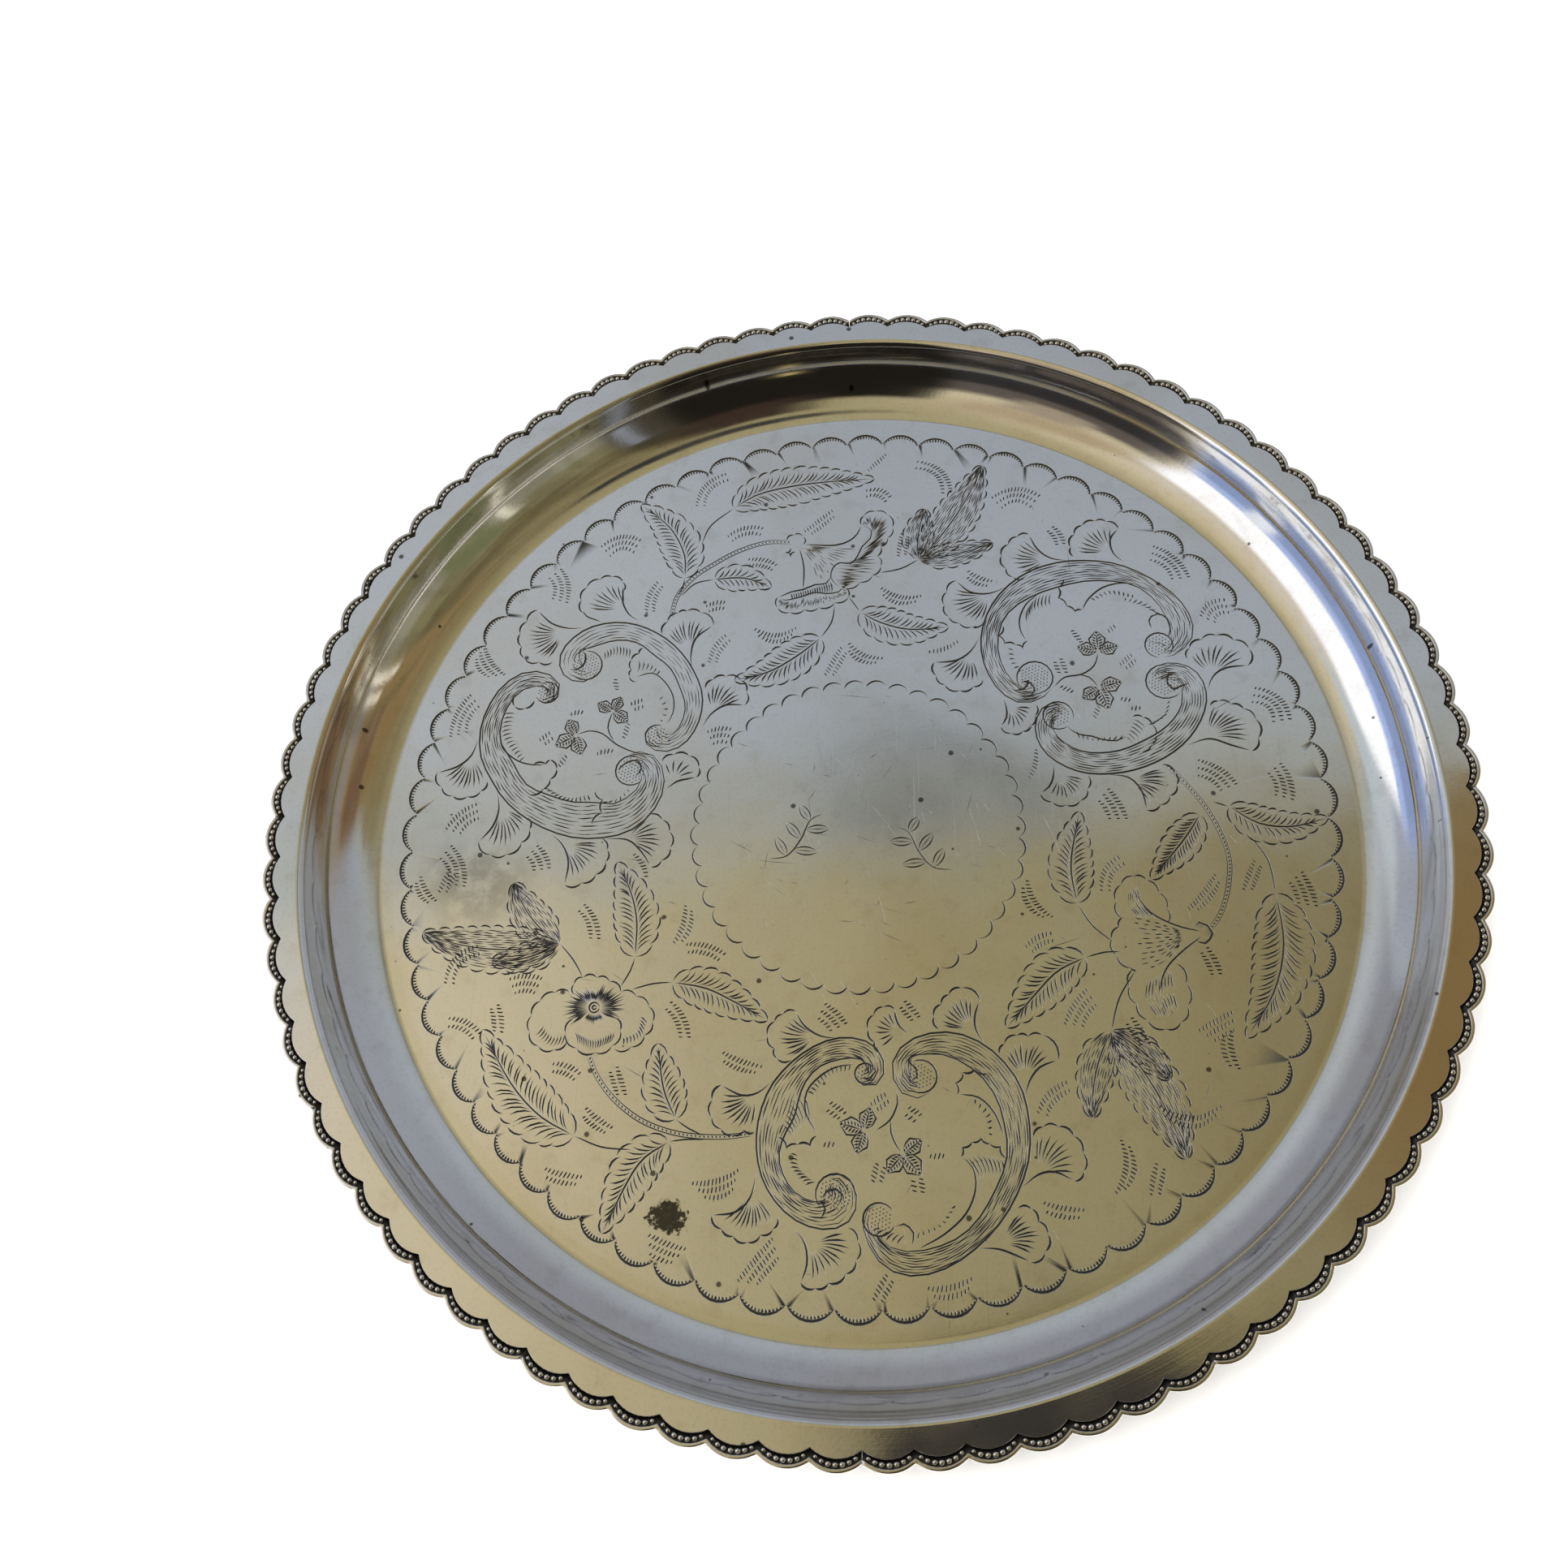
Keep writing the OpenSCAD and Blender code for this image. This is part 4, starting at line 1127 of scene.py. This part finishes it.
class Graph:
    """Short names for making shader nodes."""

    def __init__(self, tree):
        self.tree = tree
        tree.nodes.clear()

    def node(self, kind, inputs=None, **settings):
        made = self.tree.nodes.new(kind)
        for name, value in settings.items():
            setattr(made, name, value)
        for name, value in (inputs or {}).items():
            self.feed(made.inputs[name], value)
        return made

    def feed(self, socket, value):
        if isinstance(value, bpy.types.NodeSocket):
            self.tree.links.new(value, socket)
        else:
            socket.default_value = value

    def math(self, operation, a, b=0.0, clamp=False):
        return self.node("ShaderNodeMath", {0: a, 1: b}, operation=operation, use_clamp=clamp).outputs[0]

    def times(self, a, b):
        return self.math("MULTIPLY", a, b)

    def plus(self, a, b):
        return self.math("ADD", a, b)

    def vector(self, operation, a, b=(0, 0, 0)):
        made = self.node("ShaderNodeVectorMath", {0: a, 1: b}, operation=operation)
        return made.outputs["Value" if operation in ("DOT_PRODUCT", "LENGTH") else "Vector"]

    def rise(self, value, low, high):
        """0 below low, 1 above high, smooth between; high may be the smaller one."""
        return self.node("ShaderNodeMapRange", {"Value": value, "From Min": low, "From Max": high},
                         interpolation_type="SMOOTHSTEP").outputs["Result"]

    def between(self, value, low, high, soft):
        above = self.rise(value, low - soft, low + soft)
        return self.math("MULTIPLY", above, self.rise(value, high + soft, high - soft))

    def mix(self, share, a, b, blend="MIX"):
        made = self.node("ShaderNodeMix", {0: share}, data_type="RGBA", blend_type=blend)
        self.feed(made.inputs[6], (*a, 1) if isinstance(a, tuple) else a)
        self.feed(made.inputs[7], (*b, 1) if isinstance(b, tuple) else b)
        return made.outputs[2]

    def noise(self, vector, scale, detail=3.0, rough=0.5, distortion=0.0):
        return self.node("ShaderNodeTexNoise", {"Vector": vector, "Scale": scale, "Detail": detail,
                                                "Roughness": rough, "Distortion": distortion}).outputs["Fac"]

    def stretched(self, vector, size, turn=0.0, place=(0, 0, 0)):
        return self.node("ShaderNodeMapping", {"Vector": vector, "Scale": size, "Rotation": (0, 0, turn),
                                               "Location": place}).outputs["Vector"]


def plan(g):
    """The point in millimetres, its distance from the axis, and the direction from the axis to it."""
    point = g.vector("MULTIPLY", g.node("ShaderNodeTexCoord").outputs["Object"], (1000, 1000, 1000))
    flat = g.vector("MULTIPLY", point, (1, 1, 0))
    return point, g.vector("LENGTH", flat), g.vector("NORMALIZE", flat)


def towards(g, unit, degrees, half, soft):
    """1 within half degrees of a direction round the axis, falling to 0 over soft degrees."""
    way = (math.cos(math.radians(degrees)), math.sin(math.radians(degrees)), 0)
    return g.rise(g.vector("DOT_PRODUCT", unit, way), math.cos(math.radians(min(180, half + soft))),
                  math.cos(math.radians(max(0, half - soft))))


def hairlines(g, point):
    """Fine straight scratches in three directions."""
    total = None
    for i, turn in enumerate((0.5, 1.6, 2.4)):
        lines = g.noise(g.stretched(point, (0.9, 0.02, 0.02), turn, (13.0 * i, 7.0 * i, 0)), 1.0, 2.0, 0.6)
        lines = g.rise(lines, 0.66, 0.74)
        total = lines if total is None else g.math("MAXIMUM", total, lines)
    return total


def specks(g, point, ragged):
    """A few dozen dark specks of corrosion, up to a millimetre across."""
    cells = g.node("ShaderNodeTexVoronoi", {"Vector": point, "Scale": 0.12},
                   voronoi_dimensions="2D").outputs
    chance = g.node("ShaderNodeSeparateColor", {0: cells["Color"]}).outputs[0]
    size = g.times(g.rise(chance, 0.86, 1.0), 0.1)
    away = g.plus(cells["Distance"], g.times(g.math("SUBTRACT", ragged, 0.5), 0.05))
    return g.math("MULTIPLY", g.math("SUBTRACT", size, away), 30.0, True)


# Colours of old silver's films and dirt; the brown one is partly tarnish and partly a painted reflection
TARNISH = (0.50, 0.44, 0.34)
DULL_FILM = (0.42, 0.40, 0.36)
YELLOW_FILM = (0.68, 0.64, 0.42)
BROWN_FILM_AND_REFLECTION = (0.72, 0.42, 0.22)
GREY_SMUDGE = (0.30, 0.29, 0.26)
BLACK_BLOT = (0.02, 0.018, 0.016)
PIT = (0.05, 0.04, 0.03)
SPECK = (0.05, 0.045, 0.04)
DIRT = (0.03, 0.028, 0.025)


def dish_stains_and_painted_reflection(g, shade, point, radius, unit, mottle):
    """A yellow ring at the floor's edge, a brown part of the flange that is partly tarnish and partly a
    painted reflection of the brown room on the right, a smudge and a black blot.
    """
    ring = g.times(g.between(radius, FLOOR_R - 2.3, FLOOR_R + 1.7, 1.2), towards(g, unit, 265, 75, 25))
    shade = g.mix(g.times(ring, 0.3), shade, YELLOW_FILM)
    flange = g.rise(radius, FLANGE_START_R - 1.0, FLANGE_START_R)
    # brown on the near-right flange: partly tarnish, partly a painted reflection of the brown room on the
    # right
    brown = g.times(flange, towards(g, unit, 340, 14, 14))
    shade = g.mix(g.times(brown, 0.5), shade, BROWN_FILM_AND_REFLECTION)
    smudge = g.rise(distance_from(g, point, (-100.0, -14.0, 0), (0.8, 1, 0)), 16, 3)
    smudge = g.times(smudge, g.rise(mottle, 0.3, 0.55))
    shade = g.mix(g.times(smudge, 0.55), shade, GREY_SMUDGE)
    ragged = g.times(g.math("SUBTRACT", g.noise(point, 0.35, 4.0, 0.7), 0.5), 14)
    blot = g.rise(g.plus(distance_from(g, point, (-46.0, -98.5, 0), (1, 1.1, 0)), ragged), 4.4, 3.2)
    return g.mix(g.times(blot, 0.93), shade, BLACK_BLOT)


def distance_from(g, point, centre, squeeze):
    return g.vector("LENGTH", g.vector("MULTIPLY", g.vector("SUBTRACT", point, centre), squeeze))


def spun_lines(g, point, radius, unit):
    """Faint lines round the axis, left by the lathe."""
    height = g.node("ShaderNodeSeparateXYZ", {0: point}).outputs[2]
    side = g.node("ShaderNodeSeparateXYZ", {0: unit}).outputs[0]
    lathe = g.node("ShaderNodeCombineXYZ", {0: radius, 1: height, 2: side}).outputs[0]
    return g.noise(g.vector("MULTIPLY", lathe, (1.6, 1.6, 0.7)), 1.0, 3.0, 0.6)


def silver(name, colour, rough, full_dirt, with_stains_and_reflection=False):
    """Old silver, dull in clouds, pitted, finely scratched, and dark where the patina reaches full_dirt."""
    material = bpy.data.materials.new(name)
    material.use_nodes = True
    g = Graph(material.node_tree)
    point, radius, unit = plan(g)
    mottle = g.noise(point, 0.16, 4.0, 0.6)
    fine = g.noise(point, 1.1, 3.0, 0.6)
    cloud = g.rise(g.noise(point, 0.018, 4.0, 0.55, 0.6), 0.42, 0.7)
    shade = g.mix(cloud, colour, tuple(c * k for c, k in zip(colour, (0.95, 0.92, 0.86))))
    shade = g.mix(g.times(g.rise(mottle, 0.52, 0.75), 0.22), shade, TARNISH)
    if with_stains_and_reflection:
        shade = dish_stains_and_painted_reflection(g, shade, point, radius, unit, mottle)
    shade = g.mix(g.times(g.rise(fine, 0.5, 0.72), 0.16), shade, DULL_FILM)
    pits = g.rise(g.noise(point, 0.62, 5.0, 0.72), 0.70, 0.73)
    shade = g.mix(g.times(pits, 0.85), shade, PIT)
    shade = g.mix(g.times(specks(g, point, fine), 0.85), shade, SPECK)
    patina = g.node("ShaderNodeAttribute", attribute_name="patina").outputs["Fac"]
    dirt = g.times(g.rise(patina, 0.0, full_dirt), 0.92)
    shade = g.mix(dirt, shade, DIRT)

    flat_part = g.rise(radius, FLOOR_R - 0.3, FLOOR_R - 3.3)
    lines = g.times(hairlines(g, point), flat_part)
    polish = g.times(g.rise(g.noise(point, 0.05, 3.0, 0.5), 0.3, 0.7), 0.05)
    gloss = g.plus(g.plus(rough, polish), g.times(lines, 0.06))
    gloss = g.math("SUBTRACT", gloss, g.times(g.rise(radius, FLOOR_R + 1, FLOOR_R + 5), 0.035))
    gloss = g.math("ADD", gloss, g.times(g.plus(dirt, pits), 0.35), True)

    swell = g.times(g.noise(point, 0.03, 2.0, 0.4), 0.5)
    spun = g.times(spun_lines(g, point, radius, unit), g.math("SUBTRACT", 1.0, flat_part))
    grain = g.plus(g.plus(g.times(fine, 0.01), g.times(lines, 0.01)), g.times(spun, 0.014))
    bump = g.node("ShaderNodeBump", {"Height": g.plus(swell, grain), "Strength": 0.35, "Distance": 0.001})
    skin = g.node("ShaderNodeBsdfPrincipled", {"Base Color": shade, "Metallic": 1.0, "Roughness": gloss,
                                               "Normal": bump.outputs["Normal"]})
    g.node("ShaderNodeOutputMaterial", {"Surface": skin.outputs["BSDF"]})
    return material


def table_paint():
    material = bpy.data.materials.new("table_paint")
    material.use_nodes = True
    g = Graph(material.node_tree)
    grain = g.noise(g.node("ShaderNodeTexCoord").outputs["Object"], 40.0, 3.0, 0.5)
    shade = g.mix(grain, (0.90, 0.90, 0.905), (0.93, 0.93, 0.935))
    skin = g.node("ShaderNodeBsdfPrincipled", {"Base Color": shade, "Roughness": 0.7,
                                               "Specular IOR Level": 0.2})
    g.node("ShaderNodeOutputMaterial", {"Surface": skin.outputs["BSDF"]})
    return material


# ---------------------------------------------------------------- surroundings


# Parts of the room: colour, azimuth, half width, lowest and highest angle from overhead, and the
# softness of the sides and of the top and bottom, all in degrees
DOORS = [
    ((0.27, 0.185, 0.08), 10, 13, 24, 90, 5, 8), ((0.19, 0.115, 0.065), 15, 8, 51, 72, 2, 3),
    ((0.28, 0.25, 0.22), 10, 13, 76, 90, 3, 4), ((0.16, 0.13, 0.062), 330, 25, 33, 90, 4, 7),
    ((0.235, 0.21, 0.11), 330, 26, 52, 90, 3, 3), ((0.31, 0.30, 0.22), 330, 27, 71, 90, 3, 4),
]
DOOR_EDGE = ((0.17, 0.18, 0.085), 336, 5, 55, 90, 1, 3)
LIGHT_SLITS = [
    ((0.95, 0.88, 0.70), 328, 0.8, 62, 86, 0.5, 3), ((0.95, 0.88, 0.70), 359, 0.8, 58, 88, 0.5, 3),
    ((0.95, 0.88, 0.70), 2.5, 0.8, 66, 84, 0.5, 3),
]
WINDOW_WALL = [
    ((0.72, 0.64, 0.52), 180, 27, 24, 90, 10, 6), ((0.56, 0.62, 0.66), 152, 9, 28, 90, 4, 4, 0.9),
    ((0.39, 0.42, 0.50), 152, 9, 56, 90, 4, 6),
]
WINDOW = [
    ((1.25, 1.25, 1.28), 185, 27, 37, 90, 2.5, 4), ((0.45, 0.57, 0.92), 184, 28, 67, 90, 2.5, 2),
    ((0.29, 0.37, 0.62), 184, 28, 75, 90, 2.5, 3), ((0.95, 1.0, 1.1), 200, 2, 66, 84, 1, 2),
]
ONLOOKER = [
    ((0.49, 0.39, 0.24), 228, 16, 18, 40, 6, 8), ((0.12, 0.10, 0.085), 236, 21, 50, 90, 3, 5),
    ((0.40, 0.33, 0.24), 233, 6, 38, 58, 2, 3), ((0.035, 0.032, 0.032), 238, 23, 68, 90, 3, 3),
    ((0.014, 0.012, 0.009), 279, 27, 29, 90, 3, 4), ((0.045, 0.028, 0.02), 292, 16, 13, 40, 6, 3),
    ((0.06, 0.05, 0.03), 304, 5, 30, 90, 1.5, 4), ((0.30, 0.32, 0.36), 306, 1.2, 44, 84, 0.6, 3),
    ((0.7, 0.55, 0.22), 278, 1.0, 80, 85, 0.7, 1),
]
BACKDROP = (0.975, 0.98, 0.99)


class Sky:
    """The world's shader, painted by direction: one part of the room over another."""

    def __init__(self, g):
        self.g = g
        self.way = g.vector("NORMALIZE", g.node("ShaderNodeTexCoord").outputs["Generated"])
        split = g.node("ShaderNodeSeparateXYZ", {0: self.way}).outputs
        up = g.math("MAXIMUM", split[2], 0.03)
        self.gx, self.gy = g.math("DIVIDE", split[0], up), g.math("DIVIDE", split[1], up)
        self.unit = g.vector("NORMALIZE", g.vector("MULTIPLY", self.way, (1, 1, 0)))
        self.lean = g.times(g.math("ARCCOSINE", split[2]), 180 / math.pi)      # degrees from overhead
        self.cloud = g.math("SUBTRACT", g.noise(self.way, 5.0, 3.0, 0.5), 0.5)
        flat_way = g.vector("MULTIPLY", self.way, (1, 1, 0.25))
        self.wave = g.math("SUBTRACT", g.noise(flat_way, 9.0, 3.0, 0.55), 0.5)
        self.shade = None

    def cover(self, share, colour):
        self.shade = self.g.mix(share, self.shade, colour)

    def paint(self, colour, azimuth, half, low, high, soft, blur, share=1.0):
        """Covers the part within half degrees of an azimuth, from low to high degrees from overhead."""
        g = self.g
        mask = g.times(towards(g, self.unit, azimuth, half, soft),
                       g.rise(self.lean, low - blur, low + blur))
        if high < 90:
            mask = g.times(mask, g.rise(self.lean, high + blur, high - blur))
        self.cover(g.times(mask, share), colour)

    def oval(self, spot, centre, squeeze, outer, inner):
        """1 inside an oval, falling to 0 at its edge."""
        g = self.g
        away = g.vector("MULTIPLY", g.vector("SUBTRACT", spot, (*centre, 0)), (*squeeze, 1))
        return g.rise(g.vector("LENGTH", away), outer, inner)


def room():
    """The soft room that the silver mirrors; the camera itself sees a plain pale backdrop."""
    world = bpy.data.worlds.new("room")
    bpy.context.scene.world = world
    world.use_nodes = True
    g = Graph(world.node_tree)
    sky = Sky(g)
    ceiling(g, sky)
    far_side(g, sky)
    right_side(g, sky)
    for part in WINDOW_WALL + WINDOW + ONLOOKER:
        sky.paint(*part)
    shadows(g, sky)
    sky.cover(g.node("ShaderNodeLightPath").outputs["Is Camera Ray"], BACKDROP)
    glow = g.node("ShaderNodeBackground", {"Color": sky.shade, "Strength": 1.0})
    g.node("ShaderNodeOutputWorld", {"Surface": glow.outputs["Background"]})


def ceiling(g, sky):
    """Gold overhead, paler to the left."""
    across = g.plus(sky.gx, g.times(sky.cloud, 0.12))
    sky.shade = g.mix(g.rise(across, -0.36, -0.08), (0.66, 0.57, 0.38), (0.44, 0.375, 0.21))
    sky.cover(g.rise(across, -0.10, 0.08), (0.35, 0.30, 0.155))
    sky.cover(g.rise(across, 0.06, 0.34), (0.25, 0.205, 0.10))


def far_side(g, sky):
    """A blue-grey wall beyond the object, with a duller, uneven lower edge."""
    grey = g.mix(g.rise(sky.gx, -0.4, 0.0), (0.50, 0.53, 0.56), (0.40, 0.435, 0.48))
    grey = g.mix(g.rise(sky.lean, 28, 62), grey, (0.295, 0.305, 0.345))
    grey = g.mix(g.times(towards(g, sky.unit, 42, 16, 12), 0.5), grey, (0.40, 0.43, 0.47))
    low = g.times(g.rise(sky.lean, 78, 84), towards(g, sky.unit, 112, 24, 12))
    grey = g.mix(low, grey, (0.19, 0.195, 0.22))
    edge = g.math("SUBTRACT", sky.gy, g.times(sky.gx, 0.08))
    edge = g.plus(edge, g.times(sky.cloud, 0.06))
    streaks = g.node("ShaderNodeCombineXYZ", {0: g.times(sky.gx, 6.0), 1: g.times(sky.gy, 34.0)}).outputs[0]
    edge = g.plus(edge, g.times(g.math("SUBTRACT", g.noise(streaks, 1.0, 3.0, 0.6), 0.5), 0.07))
    dull = g.mix(g.rise(edge, 0.38, 0.47), (0.385, 0.405, 0.37), grey)
    sky.cover(g.rise(edge, 0.36, 0.382), dull)


def right_side(g, sky):
    """Wooden doors on the right, with dark panes, slits of light between them and a rippled sheen."""
    for part in DOORS:
        sky.paint(*part)
    panes = g.math("SUBTRACT", g.noise(g.vector("MULTIPLY", sky.unit, (7, 7, 0)), 1.0, 2.0, 0.6), 0.5)
    band = g.times(towards(g, sky.unit, 340, 38, 4), g.rise(panes, 0.02, 0.06))
    sky.cover(g.times(band, 0.4), (0.12, 0.10, 0.05))
    for part in [DOOR_EDGE] + LIGHT_SLITS:
        sky.paint(*part)
    ripple = g.times(towards(g, sky.unit, 352, 48, 6), g.rise(sky.wave, 0.0, 0.16))
    sky.cover(g.times(ripple, 0.25), (0.36, 0.30, 0.18))


def shadows(g, sky):
    """A dark patch beside the overhead point, and smeared streaks on the far wall's lower edge."""
    spot = g.node("ShaderNodeCombineXYZ", {0: sky.gx, 1: sky.gy}).outputs[0]
    sky.cover(sky.oval(spot, (0.10, -0.05), (5, 10), 0.9, 0.6), (0.04, 0.036, 0.034))
    drift = g.node("ShaderNodeCombineXYZ", {1: g.times(sky.wave, 0.16)}).outputs[0]
    smear = sky.oval(g.vector("ADD", spot, drift), (0.03, 0.405), (9, 26), 1.3, 0.6)
    sky.cover(g.times(smear, 0.75), (0.15, 0.16, 0.145))


def lamp(name, place, aim, size, power, colour):
    """A square soft light that shines on the scene but isn't seen or mirrored."""
    light = bpy.data.lights.new(name, "AREA")
    light.size = size
    light.energy = power
    light.color = colour
    holder = bpy.data.objects.new(name, light)
    bpy.context.collection.objects.link(holder)
    holder.location = place
    holder.rotation_euler = (Vector(aim) - Vector(place)).to_track_quat("-Z", "Y").to_euler()
    holder.visible_glossy = False
    holder.visible_camera = False


def table(material):
    """The pale table top, a wide flat sheet."""
    mesh = bpy.data.meshes.new("table")
    half = 2.5
    corners = [(-half, -half, 0), (half, -half, 0), (half, half, 0), (-half, half, 0)]
    mesh.from_pydata(corners, [], [(0, 1, 2, 3)])
    mesh.materials.append(material)
    top = bpy.data.objects.new("table", mesh)
    bpy.context.collection.objects.link(top)


CAMERA_PLACE = (0.01369, -0.13366, 0.35374)
CAMERA_RIGHT = (0.99593, 0.00817, -0.08974)
CAMERA_FORWARD = (-0.08609, 0.38033, -0.92083)
SENSOR_MM, LENS_MM = 36, 33.2


def camera():
    """Stands over the near side of the salver and looks steeply down."""
    lens = bpy.data.cameras.new("camera")
    lens.sensor_width = SENSOR_MM
    lens.lens = LENS_MM
    lens.clip_start = 0.01
    holder = bpy.data.objects.new("camera", lens)
    bpy.context.collection.objects.link(holder)
    forward = Vector(CAMERA_FORWARD).normalized()
    up = Vector(CAMERA_RIGHT).cross(forward).normalized()
    right = forward.cross(up)
    turn = Matrix((right, up, -forward)).transposed().to_4x4()
    holder.matrix_world = Matrix.Translation(CAMERA_PLACE) @ turn
    bpy.context.scene.camera = holder


def dress():
    """Puts everything together on the CAD frame."""
    camera()
    dish_silver = silver("dish_silver", (0.83, 0.83, 0.825), 0.1, 0.3, True)
    border_silver = silver("border_silver", (0.84, 0.82, 0.77), 0.24, 0.9)
    scratches()
    engrave()
    dish = build_dish(dish_silver)
    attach(dish, "root")
    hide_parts("body")
    for index in range(1, LENGTHS + 1):
        length = build_border_length(index, border_silver)
        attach(length, "root")
        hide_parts(f"border_length_{index:02d}")
    table(table_paint())
    room()
    lamp("key", (-0.8, 0.25, 1.3), (0.0, 0.0, 0.0), 1.3, 26, (1.0, 0.99, 0.97))
    lamp("fill", (0.35, -0.25, 1.5), (0.05, 0.0, 0.0), 2.2, 31, (1.0, 1.0, 1.0))
    bpy.context.scene.view_settings.view_transform = "Standard"


dress()
